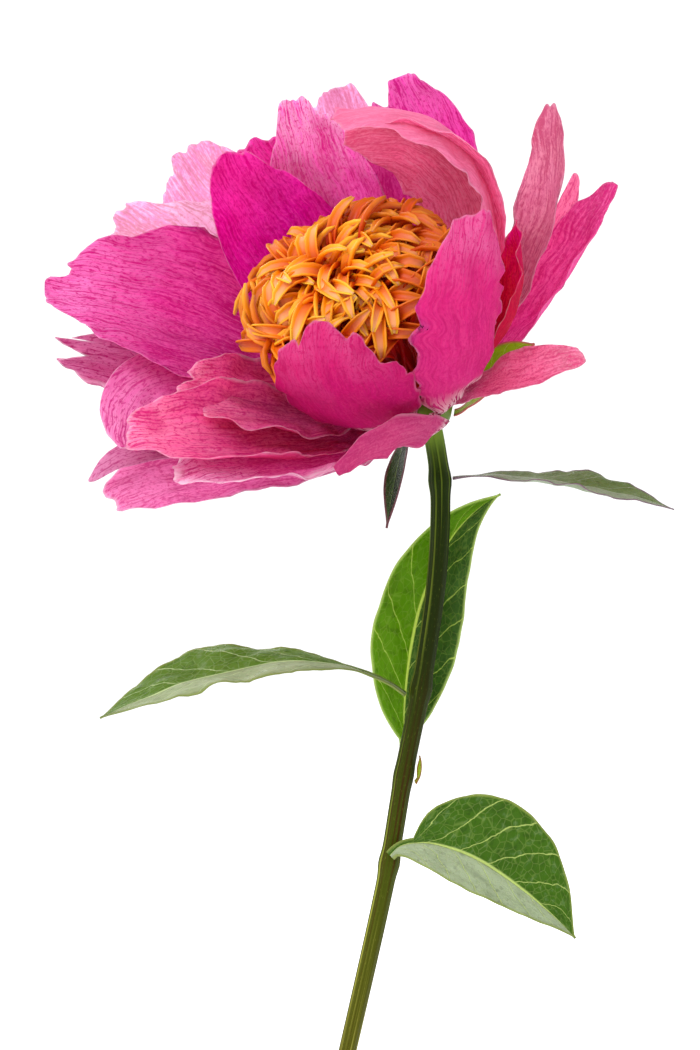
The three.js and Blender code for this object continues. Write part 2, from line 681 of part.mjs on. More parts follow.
// Each leaf: the four points that shape its midrib, the way its face looks, its half width, the bare share
// of its length on each hand, and the half widths that it keeps at its foot and its tip.
const LEAVES = {
  leaf_left: {
    rib: [[22.8, 0.4, 228.6], [4, -2, 243], [-22, -8, 238], [-53, -10, 224]], up: [0.1, -0.36, 0.93],
    half: 10, fold: [4, 6], cup: [15, 15], stalk: [0.12, 0.16], widest: [0.5, 0.56],
    breadth: [0.66, 1], least: [1.1, 0.5], rows: 14, columns: 6, color: LEAF_GREEN,
  },
  leaf_back: {
    rib: [[22.6, 4.5, 212.5], [21.8, 10, 236], [26.8, 13, 268], [47, 8, 278.5]], up: [0, -1, 0.1],
    half: 11, fold: [8, 8], cup: [10, 10], stalk: [0.04, 0.04], widest: [0.42, 0.4],
    breadth: [0.97, 1.1], least: [1.1, 0.5], rows: 12, columns: 6, color: BACKLIT_GREEN,
  },
  leaf_right: {
    rib: [[34.9, 6.4, 282.6], [50, 4, 285], [72, -2, 281], [89.5, -4, 275.4]], up: [0.05, -0.26, 1],
    half: 7.5, fold: [3, 6], cup: [5, 8], stalk: [0.04, 0.04], widest: [0.56, 0.5],
    breadth: [1, 1], least: [0.9, 0.5], rows: 12, columns: 6, color: GREY_GREEN,
  },
  leaf_low: {
    rib: [[19.3, -4.6, 188.5], [25, -5.5, 197], [45, -9, 190], [65, -11, 169]], up: [-0.1, -0.75, 0.6],
    half: 16, fold: [10, 22], cup: [15, 20], stalk: [0.12, 0], widest: [0.4, 0.42],
    breadth: [1.06, 0.62], least: [1.6, 0.5], rows: 12, columns: 6, color: LEAF_GREEN,
  },
  sprout: {
    rib: [[25.5, -0.6, 206.5], [26.6, -1.4, 208], [27, -1.6, 211], [26.4, -1.4, 213.4]], up: [-1, -0.4, 0.2],
    half: 1.4, stalk: [0, 0], widest: [0.5, 0.5], breadth: [1, 1], least: [0.7, 0.4],
    rows: 4, columns: 2, color: LIME,
  },
};

// Green blades under the petals: place round the receptacle, then as for a petal.
const CALYX = {
  bract: {
    azimuth: 228, toward: [-6, -7, -24], tip: [-7.5, -8, -33], half: 3.2, reach: 5, opening: 120,
    widest: [0.45, 0.45], color: LEAF_GREEN,
  },
  sepal_right: {
    azimuth: 13, toward: [17, -6, 8], tip: [29, -7, 12.5], half: 5.5, reach: 6, opening: 92,
    roll: [0, 15, 30], widest: [0.6, 0.6], color: LIME,
  },
  sepal_back: {
    azimuth: 88, toward: [12, 20, 4], tip: [20, 26, 10], half: 6.5, reach: 6, opening: 96,
    widest: [0.6, 0.6], color: LIME,
  },
  sepal_left: {
    azimuth: 178, toward: [-14, 13, -8], tip: [-26, 16, -9], half: 6, reach: 6, opening: 108,
    widest: [0.6, 0.6], color: LIME,
  },
};
const CALYX_RADIUS = 6.4;       // where they start on the receptacle
const CALYX_HEIGHT = -9.2;

function leafGeometry(leaf) {
  const rib = leaf.rib.map(vector);
  const stalkThickness = 2 * leaf.least[0] * 0.8;
  const thicknessAt = (s) => Math.max(LEAF_THICKNESS, stalkThickness * (1 - s / (leaf.stalk[0] + 0.1)));
  return slab(bladeGrid({ ...leaf, rib, up: vector(leaf.up) }), thicknessAt);
}

function calyxGeometry(blade) {
  const opening = radians(blade.opening);
  const { azimuth, reach } = blade;
  const rib = [
    spot(azimuth, CALYX_RADIUS, CALYX_HEIGHT),
    spot(azimuth, CALYX_RADIUS + reach * Math.sin(opening), CALYX_HEIGHT + reach * Math.cos(opening)),
    vector(blade.toward).add(heart),
    vector(blade.tip).add(heart),
  ];
  const outline = { stalk: [0, 0], breadth: [1, 1], least: [1.2, 0.5] };
  return slab(bladeGrid({ ...blade, ...outline, rib, up: axis, rows: 6, columns: 4 }), () => LEAF_THICKNESS);
}

// ---------------------------------------------------------------- the whole part

const part = new THREE.Group();

function add(name, geometry, color, roughness) {
  const mesh = new THREE.Mesh(geometry, material(color, roughness));
  mesh.name = name;
  part.add(mesh);
}

add('vase', vaseGeometry(), CERAMIC, 0.25);
add('water', waterGeometry(stemBar(GAP)), WATER, 0.05);
add('stem', stemGeometry(), STEM_GREEN, 0.5);
add('staminodes', staminodesGeometry(), GOLD, 0.6);
for (const [name, petal] of Object.entries(PETALS)) {
  add(name, petalGeometry(petal), petal.color, 0.55);
}
for (const [name, blades] of Object.entries(CREASED_PETALS)) {
  add(name, fused(blades.map(petalGeometry)), blades[0].color, 0.55);
}
for (const [name, leaf] of Object.entries(LEAVES)) {
  add(name, leafGeometry(leaf), leaf.color, 0.5);
}
for (const [name, blade] of Object.entries(CALYX)) {
  add(name, calyxGeometry(blade), blade.color, 0.5);
}

export default part;
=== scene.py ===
"""Looks of a cut peony in a bud vase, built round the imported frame.

Tables are in millimetres and degrees, in the frame's own axes: +Z up, +X to the right, +Y away.
"""

import math

import bpy
import numpy as np
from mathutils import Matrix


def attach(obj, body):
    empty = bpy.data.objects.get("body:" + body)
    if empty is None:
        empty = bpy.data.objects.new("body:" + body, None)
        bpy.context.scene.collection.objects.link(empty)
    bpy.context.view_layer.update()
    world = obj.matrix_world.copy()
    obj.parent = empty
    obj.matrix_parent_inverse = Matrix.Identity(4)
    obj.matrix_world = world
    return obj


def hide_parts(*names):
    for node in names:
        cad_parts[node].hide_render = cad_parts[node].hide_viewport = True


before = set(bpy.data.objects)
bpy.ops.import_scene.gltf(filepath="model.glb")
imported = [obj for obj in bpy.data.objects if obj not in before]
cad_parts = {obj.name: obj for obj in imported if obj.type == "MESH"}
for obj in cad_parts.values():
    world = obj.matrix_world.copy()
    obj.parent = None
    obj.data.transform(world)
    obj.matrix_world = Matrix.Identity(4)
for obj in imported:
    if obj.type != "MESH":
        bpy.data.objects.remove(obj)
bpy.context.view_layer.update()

MM = 0.001

# Seeds of the first petal, leaf and sepal, the step from each to the next, and the boss's own seed.
PETAL_SEED = 20
LEAF_SEED = 400
CALYX_SEED = 500
SEED_STEP = 10
BOSS_SEED = 11

# ------------------------ small helpers


def unit(vectors):
    return vectors / np.linalg.norm(vectors, axis=-1, keepdims=True)


def mix(a, b, share):
    return a + (b - a) * share


def eased(values, s):
    """Eased value at share s of a list of evenly spaced values."""
    last = len(values) - 1
    if last == 0:
        return np.full_like(s, values[0], dtype=float)
    x = np.clip(s, 0, 1) * last
    i = np.minimum(x.astype(int), last - 1)
    share = x - i
    known = np.array(values, float)
    return mix(known[i], known[i + 1], share * share * (3 - 2 * share))


RIPPLE_WAVES = 10


def ripple(seed, x, y, length):
    """Smooth seeded noise of about unit size over a plane, with waves about as long as length."""
    rng = np.random.default_rng(seed)
    total = 0
    for _ in range(RIPPLE_WAVES):
        turn, phase = rng.uniform(0, 2 * math.pi, 2)
        rate = 2 * math.pi / (length * rng.uniform(0.6, 1.7))
        total = total + np.sin((x * math.cos(turn) + y * math.sin(turn)) * rate + phase)
    return total / math.sqrt(RIPPLE_WAVES / 2)


def neighbours(count):
    """Steps before and after each of so many steps, as far as there are any."""
    steps = np.arange(count)
    return np.maximum(steps - 1, 0), np.minimum(steps + 1, count - 1)


def linear(code):
    """Scene-linear colour of a screen colour given as #rrggbb."""
    screen = [int(code[i:i + 2], 16) / 255 for i in (1, 3, 5)]
    return [c / 12.92 if c < 0.04045 else ((c + 0.055) / 1.055) ** 2.4 for c in screen] + [1.0]


# ------------------------ the flower's own axes

# Where the petals' axes meet, and how far the flower leans to the left and to the front.
HEART = np.array([25.5, 0, 304])
LEAN_LEFT = math.radians(33)
LEAN_FRONT = math.radians(40)
AXIS = np.array([
    -math.cos(LEAN_FRONT) * math.sin(LEAN_LEFT),
    -math.sin(LEAN_FRONT),
    math.cos(LEAN_FRONT) * math.cos(LEAN_LEFT),
])
RISE = unit(np.array([0, 0, 1]) - AXIS * AXIS[2])
ACROSS = np.cross(RISE, AXIS)


def spot(azimuth, radius, height):
    """Point round the flower's axis: 0 degrees lies to the right, 90 at the back, 180 to the left."""
    turn = math.radians(azimuth)
    return HEART + ACROSS * math.cos(turn) * radius + RISE * math.sin(turn) * radius + AXIS * height


# ------------------------ blades

RAIL_STEPS = 48
SECTION_STEPS = 6
LEAF_TAPER = 1.2
END_BLUNTNESS = 2.4
NOTCH_SHARPNESS = 1.3

# Waves along a blade's edge: their share of its frill, how far in they reach and how long they are.
EDGE_WAVES = [(1, 5, 11), (0.25, 2, 4)]
TATTER_LENGTH = 7
FINE_TATTER_LENGTH = 2.2
LOBE_LENGTH = 8
CRUMPLE_LENGTH = 6
FULL_WAVE_WIDTH = 8


def bezier(points, s):
    """Points at shares s of the curve that a few control points shape."""
    points = np.array(points, float)
    n = len(points) - 1
    s = np.asarray(s, float)[..., None]
    return sum(math.comb(n, k) * s ** k * (1 - s) ** (n - k) * points[k] for k in range(n + 1))


def rail(points, up):
    """Frames along a midrib, with the face's normal carried along it without twisting."""
    places = bezier(points, np.linspace(0, 1, RAIL_STEPS + 1))
    steps = np.linalg.norm(np.diff(places, axis=0), axis=1)
    lengths = np.concatenate([[0], np.cumsum(steps)])
    before, after = neighbours(RAIL_STEPS + 1)
    tangents = unit(places[after] - places[before])
    normals = [unit(up - tangents[0] * np.dot(up, tangents[0]))]
    for tangent in tangents[1:]:
        normals.append(unit(normals[-1] - tangent * np.dot(normals[-1], tangent)))
    return {"shares": lengths / lengths[-1], "length": lengths[-1], "places": places,
            "tangents": tangents, "normals": np.array(normals)}


def along_rail(track, key, s):
    """Places, tangents or normals of the rail at shares s of its length."""
    return np.stack([np.interp(s, track["shares"], track[key][:, i]) for i in range(3)], -1)


def frame_at(track, s, rolls):
    """Centre, face normal and sideways direction at shares s of the rail."""
    ahead = unit(along_rail(track, "tangents", s))
    face = along_rail(track, "normals", s)
    face = unit(face - ahead * (face * ahead).sum(-1, keepdims=True))
    turn = np.radians(eased(rolls, s))[..., None]
    face = face * np.cos(turn) + np.cross(ahead, face) * np.sin(turn)
    return along_rail(track, "places", s), face, np.cross(ahead, face)


def petal_width(s, blade):
    """Half width of a petal at share s of its length, from its claw to its widest place and on."""
    x = np.maximum(s, 1e-6) / blade["widest"]
    return blade["claw"] + (1 - blade["claw"]) * (x * np.exp(1 - x)) ** blade["neck"]


def petal_end(t, blade):
    """Share of its length that a petal reaches at t across, with its rounded end and its notches."""
    end = 1 - blade["round"] * np.abs(t) ** END_BLUNTNESS
    for middle, deep, wide in blade["notches"]:
        end = end - deep * np.maximum(0, 1 - np.abs(t - middle) / wide) ** NOTCH_SHARPNESS
    return end


def leaf_width(s, hand, blade):
    """Half width of a leaf at share s of its length, for each hand of the midrib, from its stalk on."""
    stalk = np.where(hand == 0, *blade["stalk"])
    x = np.maximum(0, (s - stalk) / (1 - stalk))
    widest = np.where(hand == 0, *blade["widest"])
    rate = widest / (1 - widest)
    peak = widest ** rate * (1 - widest)
    return np.where(hand == 0, *blade["breadth"]) * (x ** rate * (1 - x) / peak) ** LEAF_TAPER


def cross_section(q, hand, blade):
    """How far out and up the cross-section has come at distance q (in half widths) from the midrib."""
    fold, cup, curl = (np.where(hand == 0, *blade[key]) for key in ("fold", "cup", "curl"))
    out = 0
    lift = 0
    for m in range(SECTION_STEPS):
        x = (m + 0.5) / SECTION_STEPS * q
        angle = np.radians(fold + cup * x + curl * x ** 3)
        out = out + np.cos(angle) * q / SECTION_STEPS
        lift = lift + np.sin(angle) * q / SECTION_STEPS
    return out, lift


# What a blade has where its own table says nothing. Lists of two are its two hands, and ruffle is the size,
# number and phase of its long waves.
PLAIN_BLADE = {
    "roll": [0], "cup": [30, 30], "fold": [0, 0], "curl": [0, 0], "notches": [], "ruffle": [0, 1, 0],
    "claw": 0.16, "widest": 0.66, "neck": 1.8, "round": 0.35, "rows": 72, "columns": 64,
    "frill": 0.6, "crumple": 0.22, "ragged": 0.012, "lobed": 0.01, "thickness": 0.34,
}


def blade_grid(given):
    """Middle surface of a thin blade, with t across it, s along it and rim, the distance to its edge."""
    blade = {**PLAIN_BLADE, **given}
    track = rail(blade["rib"], blade["up"])
    leaf = "stalk" in blade
    seed = blade["seed"]
    t = np.linspace(-1, 1, blade["columns"] + 1)[None, :]
    j = np.linspace(0, 1, blade["rows"] + 1)[:, None]
    hand = np.where(t < 0, 0, 1) + 0 * j
    end = np.ones_like(t)
    if not leaf:
        end = petal_end(t, blade) + blade["ragged"] * ripple(seed + 1, t * blade["half"], 0, TATTER_LENGTH)
        end = end + 0.2 * blade["ragged"] * ripple(seed + 6, t * blade["half"], 0, FINE_TATTER_LENGTH)
    s = end * j
    t = t + 0 * j
    centre, face, side = frame_at(track, s, blade["roll"])
    if leaf:
        least = mix(*blade["least"], s)
        half = np.maximum(blade["half"] * leaf_width(s, hand, blade), least)
    else:
        half = blade["half"] * petal_width(s, blade)
    along = s * track["length"]
    half = half * (1 + blade["lobed"] * ripple(seed + 2, along, hand * 50, LOBE_LENGTH))
    out, lift = cross_section(np.abs(t) * half / blade["half"], hand, blade)
    swell, waves, phase = blade["ruffle"]
    wave = swell * t * t * s * np.sin(2 * math.pi * waves * s + phase + hand * 2)
    rim = np.minimum(half * (1 - np.abs(t)), (end - s) * track["length"])
    spread = np.clip(half / FULL_WAVE_WIDTH, 0, 1)
    over = t * half
    for k, (share, depth, length) in enumerate(EDGE_WAVES):
        size = share * blade["frill"] * spread * np.exp(-rim / depth)
        wave = wave + size * ripple(seed + 3 + k, over, along, length)
    wave = wave + blade["crumple"] * spread * ripple(seed + 5, over, along * 0.4, CRUMPLE_LENGTH)
    points = centre + side * (np.sign(t) * out * blade["half"])[..., None]
    points = points + face * (lift * blade["half"] + wave)[..., None]
    return {"points": points, "t": t, "s": s, "rim": rim, "thin": blade["thickness"]}


# ------------------------ meshes

THIN_EDGE = 0.35
THIN_EDGE_WIDTH = 2
TURNED_SIDES = 40


def put_in_scene(name, data):
    """Object of a mesh, a lamp or a camera."""
    piece = bpy.data.objects.new(name, data)
    bpy.context.scene.collection.objects.link(piece)
    return piece


def new_object(name, vertices, faces, uv, attributes):
    """Smooth mesh from points in millimetres, with a value of each attribute and a UV at every point."""
    mesh = bpy.data.meshes.new(name)
    mesh.from_pydata((np.asarray(vertices) * MM).tolist(), [], faces)
    mesh.polygons.foreach_set("use_smooth", [True] * len(mesh.polygons))
    corners = np.zeros(len(mesh.loops), int)
    mesh.loops.foreach_get("vertex_index", corners)
    layer = mesh.uv_layers.new(name="blade")
    layer.data.foreach_set("uv", np.asarray(uv, float)[corners].ravel())
    for key, values in attributes.items():
        attribute = mesh.attributes.new(key, "FLOAT", "POINT")
        attribute.data.foreach_set("value", np.asarray(values, float).ravel())
    mesh.update()
    return put_in_scene(name, mesh)


def slab(grid):
    """Closed thin slab round a grid: its points, faces, UVs, and which of its points are underneath."""
    points = grid["points"]
    rows, columns = points.shape[:2]
    before, after = neighbours(rows)
    left, right = neighbours(columns)
    normal = np.cross(points[:, right] - points[:, left], points[after] - points[before])
    normal = normal / np.maximum(np.linalg.norm(normal, axis=-1, keepdims=True), 1e-9)
    thickness = grid["thin"] * mix(THIN_EDGE, 1, np.clip(grid["rim"] / THIN_EDGE_WIDTH, 0, 1))
    thickness = thickness[..., None]
    vertices = np.concatenate([(points + normal * thickness / 2).reshape(-1, 3),
                               (points - normal * thickness / 2).reshape(-1, 3)])
    back = rows * columns
    at = np.arange(back).reshape(rows, columns)
    a, b, c, d = at[:-1, :-1], at[:-1, 1:], at[1:, 1:], at[1:, :-1]
    top = np.stack([a, b, c, d], -1).reshape(-1, 4)
    under = np.stack([a, d, c, b], -1).reshape(-1, 4) + back
    rim = np.concatenate([at[0, :], at[1:, -1], at[-1, -2::-1], at[-2:0:-1, 0]])
    following = np.roll(rim, -1)
    side = np.stack([rim + back, following + back, following, rim], -1)
    faces = np.concatenate([top, under, side]).tolist()
    uv = np.stack([(grid["t"] + 1) / 2, grid["s"]], -1).reshape(-1, 2)
    attributes = {"rim": np.tile(grid["rim"].ravel(), 2), "under": np.repeat([0.0, 1.0], back)}
    return vertices, faces, np.tile(uv, (2, 1)), attributes


def joined(slabs):
    """Several slabs as one set of points and faces."""
    vertices, faces, uvs, attributes = [], [], [], {}
    count = 0
    for points, polygons, uv, values in slabs:
        vertices.append(points)
        faces += [[i + count for i in polygon] for polygon in polygons]
        uvs.append(uv)
        for key, value in values.items():
            attributes.setdefault(key, []).append(value)
        count += len(points)
    return (np.concatenate(vertices), faces, np.concatenate(uvs),
            {key: np.concatenate(values) for key, values in attributes.items()})


def tube_faces(rings, sides):
    """Faces of a tube of rings, closed at both ends."""
    faces = []
    for i in range(rings - 1):
        for k in range(sides):
            following = (k + 1) % sides
            faces.append([i * sides + k, i * sides + following,
                          (i + 1) * sides + following, (i + 1) * sides + k])
    faces.append(list(range(sides))[::-1])
    faces.append(list(range((rings - 1) * sides, rings * sides)))
    return faces


def turned(profile):
    """Points and faces of a solid of rings round the flower's axis, one for each radius and height."""
    rings = [spot(360 * k / TURNED_SIDES, *ring) for ring in profile for k in range(TURNED_SIDES)]
    return np.array(rings), tube_faces(len(profile), TURNED_SIDES)


def place(piece, slot, material, *nodes):
    """Puts a finished piece in the frame in place of CAD nodes."""
    piece.data.materials.append(material)
    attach(piece, "root")
    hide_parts(*nodes)


# ------------------------ materials


class Shader:
    """A material and short ways to add nodes to it."""

    # The Mix node's sockets for two colours and their blend, whose names it gives to other sockets too.
    MIX_FIRST, MIX_SECOND, MIX_RESULT = 6, 7, 2

    def __init__(self, name):
        self.material = bpy.data.materials.new(name)
        self.material.use_nodes = True
        self.tree = self.material.node_tree
        self.tree.nodes.clear()

    def add(self, kind, inputs=None, **settings):
        """Node whose inputs are each linked to a socket or set to a value."""
        node = self.tree.nodes.new("ShaderNode" + kind)
        for key, value in settings.items():
            setattr(node, key, value)
        for key, value in (inputs or {}).items():
            self.put(node.inputs[key], value)
        return node

    def put(self, socket, value):
        """Links a socket to another one, or sets it to a plain value."""
        if isinstance(value, bpy.types.NodeSocket):
            self.tree.links.new(value, socket)
        else:
            socket.default_value = value

    def maths(self, operation, *values):
        return self.add("Math", dict(enumerate(values)), operation=operation).outputs[0]

    def times(self, a, b):
        return self.maths("MULTIPLY", a, b)

    def times_plus(self, a, b, c):
        return self.maths("MULTIPLY_ADD", a, b, c)

    def blend(self, share, a, b):
        """Mixes two colours, with a share of the second."""
        node = self.add("Mix", data_type="RGBA")
        for key, value in (("Factor", share), (self.MIX_FIRST, a), (self.MIX_SECOND, b)):
            self.put(node.inputs[key], value)
        return node.outputs[self.MIX_RESULT]

    def ramp(self, share, stops):
        """Colour ramp through stops, each a place on it and a screen colour."""
        node = self.add("ValToRGB", {"Fac": share})
        elements = node.color_ramp.elements
        while len(elements) < len(stops):
            elements.new(0.5)
        for element, (position, code) in zip(elements, stops):
            element.position = position
            element.color = linear(code)
        return node.outputs["Color"]

    def smooth(self, value, low, high, most=1.0, least=0.0):
        """Rises smoothly from least, where the value is low, to most, where it is high."""
        node = self.add("MapRange", {"Value": value, "From Min": low, "From Max": high,
                                     "To Min": least, "To Max": most}, interpolation_type="SMOOTHSTEP")
        return node.outputs[0]

    def attribute(self, name):
        return self.add("Attribute", attribute_name=name).outputs["Fac"]

    def uv(self):
        """The blade's two coordinates, across and along."""
        split = self.add("SeparateXYZ", {0: self.add("UVMap", uv_map="blade").outputs[0]})
        return split.outputs[0], split.outputs[1]

    def spread(self, across, along, offset, rates):
        """Place in a texture of two coordinates, each stretched by its rate, on a layer of its own."""
        x, y = (self.times(value, rate) for value, rate in zip((across, along), rates))
        return self.add("CombineXYZ", {0: x, 1: y, 2: offset}).outputs[0]

    def noise(self, across, along, offset, rates, detail=3.0, roughness=0.55):
        node = self.add("TexNoise", {"Vector": self.spread(across, along, offset, rates), "Scale": 1.0,
                                     "Detail": detail, "Roughness": roughness})
        return node.outputs[0]

    def off_middle(self, across):
        """How far to either side of the blade's middle, from 0 to 1."""
        return self.maths("ABSOLUTE", self.times_plus(across, 2.0, -1.0))

    def bump(self, height, strength, distance):
        return self.add("Bump", {"Height": height, "Strength": strength, "Distance": distance}).outputs[0]

    def finish(self, colour, gloss, through=0.0):
        """Material of a glossy surface that lets a share of the light through, in its own colour."""
        surface = self.add("BsdfPrincipled", {"Base Color": colour, **gloss}).outputs[0]
        if through:
            passed = self.add("BsdfTranslucent", {"Color": colour}).outputs[0]
            surface = self.add("MixShader", {0: through, 1: surface, 2: passed}).outputs[0]
        self.add("OutputMaterial", {"Surface": surface})
        return self.material


WHITISH = linear("#f6e0ea")
BACK_TINT = linear("#f3a3bc")
CLAW_WHITE = linear("#f8ecee")
CLAW_RED = linear("#9c2452")
VEIN_LENGTH = 90
PATCH_BEND = 6.0

# How pale a petal's rim is, and how many millimetres of it, where its own table says nothing.
PLAIN_RIM = (0.3, 0.9)


def darker(colour):
    """Deep, purer version of a petal's colour, for its streaks and folds."""
    return [colour[0] * 0.78, colour[1] * min(0.7, 0.05 + 1.6 * colour[1]), colour[2] * 0.6, 1.0]


def brighter(colour):
    """Light, warmer version of a petal's colour, for the skin between its streaks."""
    return [min(1.0, colour[0] * 1.15), min(1.0, colour[1] * 1.5 + 0.05), min(1.0, colour[2] * 1.3), 1.0]


def petal_material(name, petal, seed):
    """Petal: veined along its length, mottled and streaked, paler at its rim, and letting light through."""
    foot, body, end = petal["colours"]
    skin = linear(body)
    outside = [mix(c, tint, 0.05) for c, tint in zip(skin, BACK_TINT)]
    paleness, pale_width = petal.get("rim", PLAIN_RIM)
    look = Shader(name)
    share, along = look.uv()
    across = look.times(share, 2.0 * petal["half"])
    length = look.times(along, float(VEIN_LENGTH))
    under = look.attribute("under")
    rim = look.attribute("rim")

    def pattern(over, wide, long, offset, **how):
        """Noise with marks about so many millimetres wide and long."""
        return look.noise(over, length, seed * offset, (1 / wide, 1 / long), **how)

    patches = pattern(across, 13.0, 26.0, 5.3)
    bent = look.times_plus(patches, PATCH_BEND, across)
    zones = pattern(bent, 9.0, 20.0, 4.1)
    veins = pattern(bent, 0.7, 16.0, 1.7, roughness=0.6)
    streaks = pattern(bent, 1.1, 7.0, 3.1, detail=2.0)
    mottle = pattern(bent, 0.6, 1.5, 0.7, roughness=0.7)
    wander = look.times_plus(patches, 0.8, -0.4)
    feathered = look.maths("ADD", wander, look.times_plus(veins, 0.7, -0.35))
    place_on = look.maths("ADD", along, feathered)
    colour = look.ramp(place_on, [(0.1, foot), (0.42, body), (0.66, body), (0.95, end)])
    deep = darker(skin)
    pale = brighter(skin)
    # Each pattern deepens the skin where it is strong and lightens it where it is weak.
    for value, low, high, most, tint in (
            (patches, 0.52, 0.68, 0.7, deep), (zones, 0.46, 0.32, 0.35, pale),
            (veins, 0.5, 0.62, 0.85, deep), (veins, 0.48, 0.36, 0.6, pale),
            (mottle, 0.5, 0.64, 0.8, deep), (mottle, 0.48, 0.36, 0.5, pale)):
        colour = look.blend(look.smooth(value, low, high, most), colour, tint)
    marked = look.times(look.smooth(streaks, 0.6, 0.66), look.smooth(zones, 0.48, 0.56, 0.8))
    colour = look.blend(marked, colour, deep)
    colour = look.blend(look.times(under, 0.5), colour, outside)
    claw = look.blend(look.smooth(streaks, 0.5, 0.56), CLAW_WHITE, CLAW_RED)
    colour = look.blend(look.times(under, look.smooth(along, 0.34, 0.16, 0.85)), colour, claw)
    near = look.times(look.smooth(rim, pale_width, 0.0), look.smooth(veins, 0.4, 0.6, 1.0, 0.3))
    colour = look.blend(look.times(near, paleness), colour, WHITISH)
    height = look.times_plus(streaks, 0.6, look.times_plus(mottle, 0.6, veins))
    gloss = {"Roughness": 0.5, "Specular IOR Level": 0.02, "Normal": look.bump(height, 0.6, 0.0006)}
    return look.finish(colour, gloss, through=0.5)


# Colours of a staminode from its foot, under its neighbours, to its end: at its edges and down its middle.
# The deep red at the foot is partly the staminodes' own colour and partly painted shade under their
# neighbours.
STAMINODE_MARGIN = [(0.54, "#d42400"), (0.74, "#e04000"), (0.86, "#fc9800"), (1.0, "#ffd03c")]
STAMINODE_STRIPE = [(0.54, "#c41800"), (0.72, "#c02800"), (0.84, "#ec7828"), (1.0, "#fcc88c")]
# Deep orange-red of the painted shade on straps away from the light and towards the boss's rim.
STAMINODE_SHADE = linear("#c82400")


def staminode_material():
    """Staminodes: golden margins, a peach stripe down the middle, feet of deep orange-red, and painted shade
    on the straps away from the light and towards the boss's rim.
    """
    look = Shader("staminode_gold")
    across, along = look.uv()
    shade_and_tone = look.attribute("shade_and_tone")
    grain = look.noise(across, along, look.times(shade_and_tone, 40.0), (9.0, 5.0))
    margin = look.ramp(along, STAMINODE_MARGIN)
    stripe = look.ramp(along, STAMINODE_STRIPE)
    uneven = look.times_plus(grain, 0.3, look.maths("SUBTRACT", look.off_middle(across), 0.15))
    colour = look.blend(look.smooth(uneven, 0.62, 0.45), margin, stripe)
    # Painted shade: straps on the side away from the light and near the boss's rim are darkened towards deep
    # orange-red.
    shaded = look.blend(0.65, colour, STAMINODE_SHADE)
    colour = look.blend(look.smooth(shade_and_tone, 0.3, 0.85), colour, shaded)
    gloss = {"Roughness": 0.4, "Specular IOR Level": 0.3, "Normal": look.bump(grain, 0.4, 0.0003)}
    return look.finish(colour, gloss, through=0.2)


# Colours of each leaf's two halves, its veins, underside and margin, and the share of light let through.
# A pale, silvery half, as on leaf_left, leaf_right and leaf_low, is a painted sheen of light on the waxy
# leaf.
LEAF_LOOKS = {
    "leaf_left": ["#98a67c", "#587826", "#c4d898", "#8c9f7a", "#7d8a3c", 0.2],
    "leaf_back": ["#709e10", "#4a6c2c", "#dcea80", "#6f9a2c", "#c9d98a", 0.6],
    "leaf_right": ["#66793c", "#8b9676", "#aab798", "#8a9a7c", "#7d5a72", 0.2],
    "leaf_low": ["#3c6408", "#a6b492", "#c4d878", "#7c9468", "#8f9d4c", 0.25],
    "bract": ["#18280a", "#2c4414", "#6f8a48", "#2a3c16", "#7c4350", 0.1],
    "sprout": ["#a9cc1e", "#b9cc3e", "#dbe689", "#c3d63c", "#a05830", 0.3],
    "sepal_right": ["#a9d01e", "#bcd848", "#e4f0a0", "#c3d63c", "#e0607e", 0.4],
    "sepal_back": ["#a9cc1e", "#bcd848", "#dbe689", "#c3d63c", "#e0607e", 0.4],
    "sepal_left": ["#a9cc1e", "#bcd848", "#dbe689", "#c3d63c", "#e0607e", 0.4],
}
VEIN_PAIRS = 7


def leaf_material(name, seed):
    """Leaf: a pale midrib, side veins that sweep towards the tip, a fine net between them, a thin margin."""
    *codes, through = LEAF_LOOKS[name]
    one_half, other_half, vein, below, margin = (linear(code) for code in codes)
    look = Shader(name)
    across, along = look.uv()
    under = look.attribute("under")
    rim = look.attribute("rim")
    off_midrib = look.off_middle(across)
    # Side veins are even steps along the leaf, bent towards its tip and set off between its two hands.
    wander = look.noise(across, along, seed * 2.3, (5.0, 5.0))
    bent = look.times_plus(look.maths("POWER", off_midrib, 0.8), -0.24, along)
    bent = look.times_plus(wander, 0.07, bent)
    hand = look.times(look.maths("GREATER_THAN", across, 0.5), 0.35)
    count = look.maths("ADD", look.times(bent, float(VEIN_PAIRS)), hand)
    phase = look.maths("FRACT", count)
    off_vein = look.maths("ABSOLUTE", look.maths("SUBTRACT", phase, 0.5))
    side_veins = look.smooth(off_vein, 0.03, 0.01, 0.8)
    midrib = look.smooth(off_midrib, 0.05, 0.02)
    veins = look.maths("MAXIMUM", side_veins, midrib)
    cells = look.add("TexVoronoi", {"Vector": look.spread(across, along, seed, (9.0, 20.0)), "Scale": 1.6},
                     feature="DISTANCE_TO_EDGE")
    net = look.smooth(cells.outputs["Distance"], 0.08, 0.0)
    mottle = look.noise(across, along, seed, (12.0, 30.0))
    # Painted sheen: on some leaves one half is pale and silvery, standing in for light on the waxy surface.
    top = look.blend(look.smooth(across, 0.47, 0.53), one_half, other_half)
    dark = look.blend(0.6, top, [0.0, 0.01, 0.0, 1.0])
    face = look.blend(look.smooth(mottle, 0.52, 0.7, 0.5), top, dark)
    face = look.blend(look.smooth(wander, 0.5, 0.7, 0.35), face, dark)
    face = look.blend(look.smooth(mottle, 0.46, 0.3, 0.25), face, below)
    face = look.blend(look.times(net, 0.12), face, vein)
    colour = look.blend(look.times(under, 0.7), face, below)
    colour = look.blend(look.times(veins, 0.85), colour, vein)
    colour = look.blend(look.smooth(rim, 0.9, 0.1, 0.85), colour, margin)
    height = look.times_plus(veins, -1.0, look.times_plus(net, -0.25, mottle))
    gloss = {"Roughness": 0.36, "Specular IOR Level": 0.15, "Normal": look.bump(height, 0.6, 0.0004)}
    return look.finish(colour, gloss, through=through)


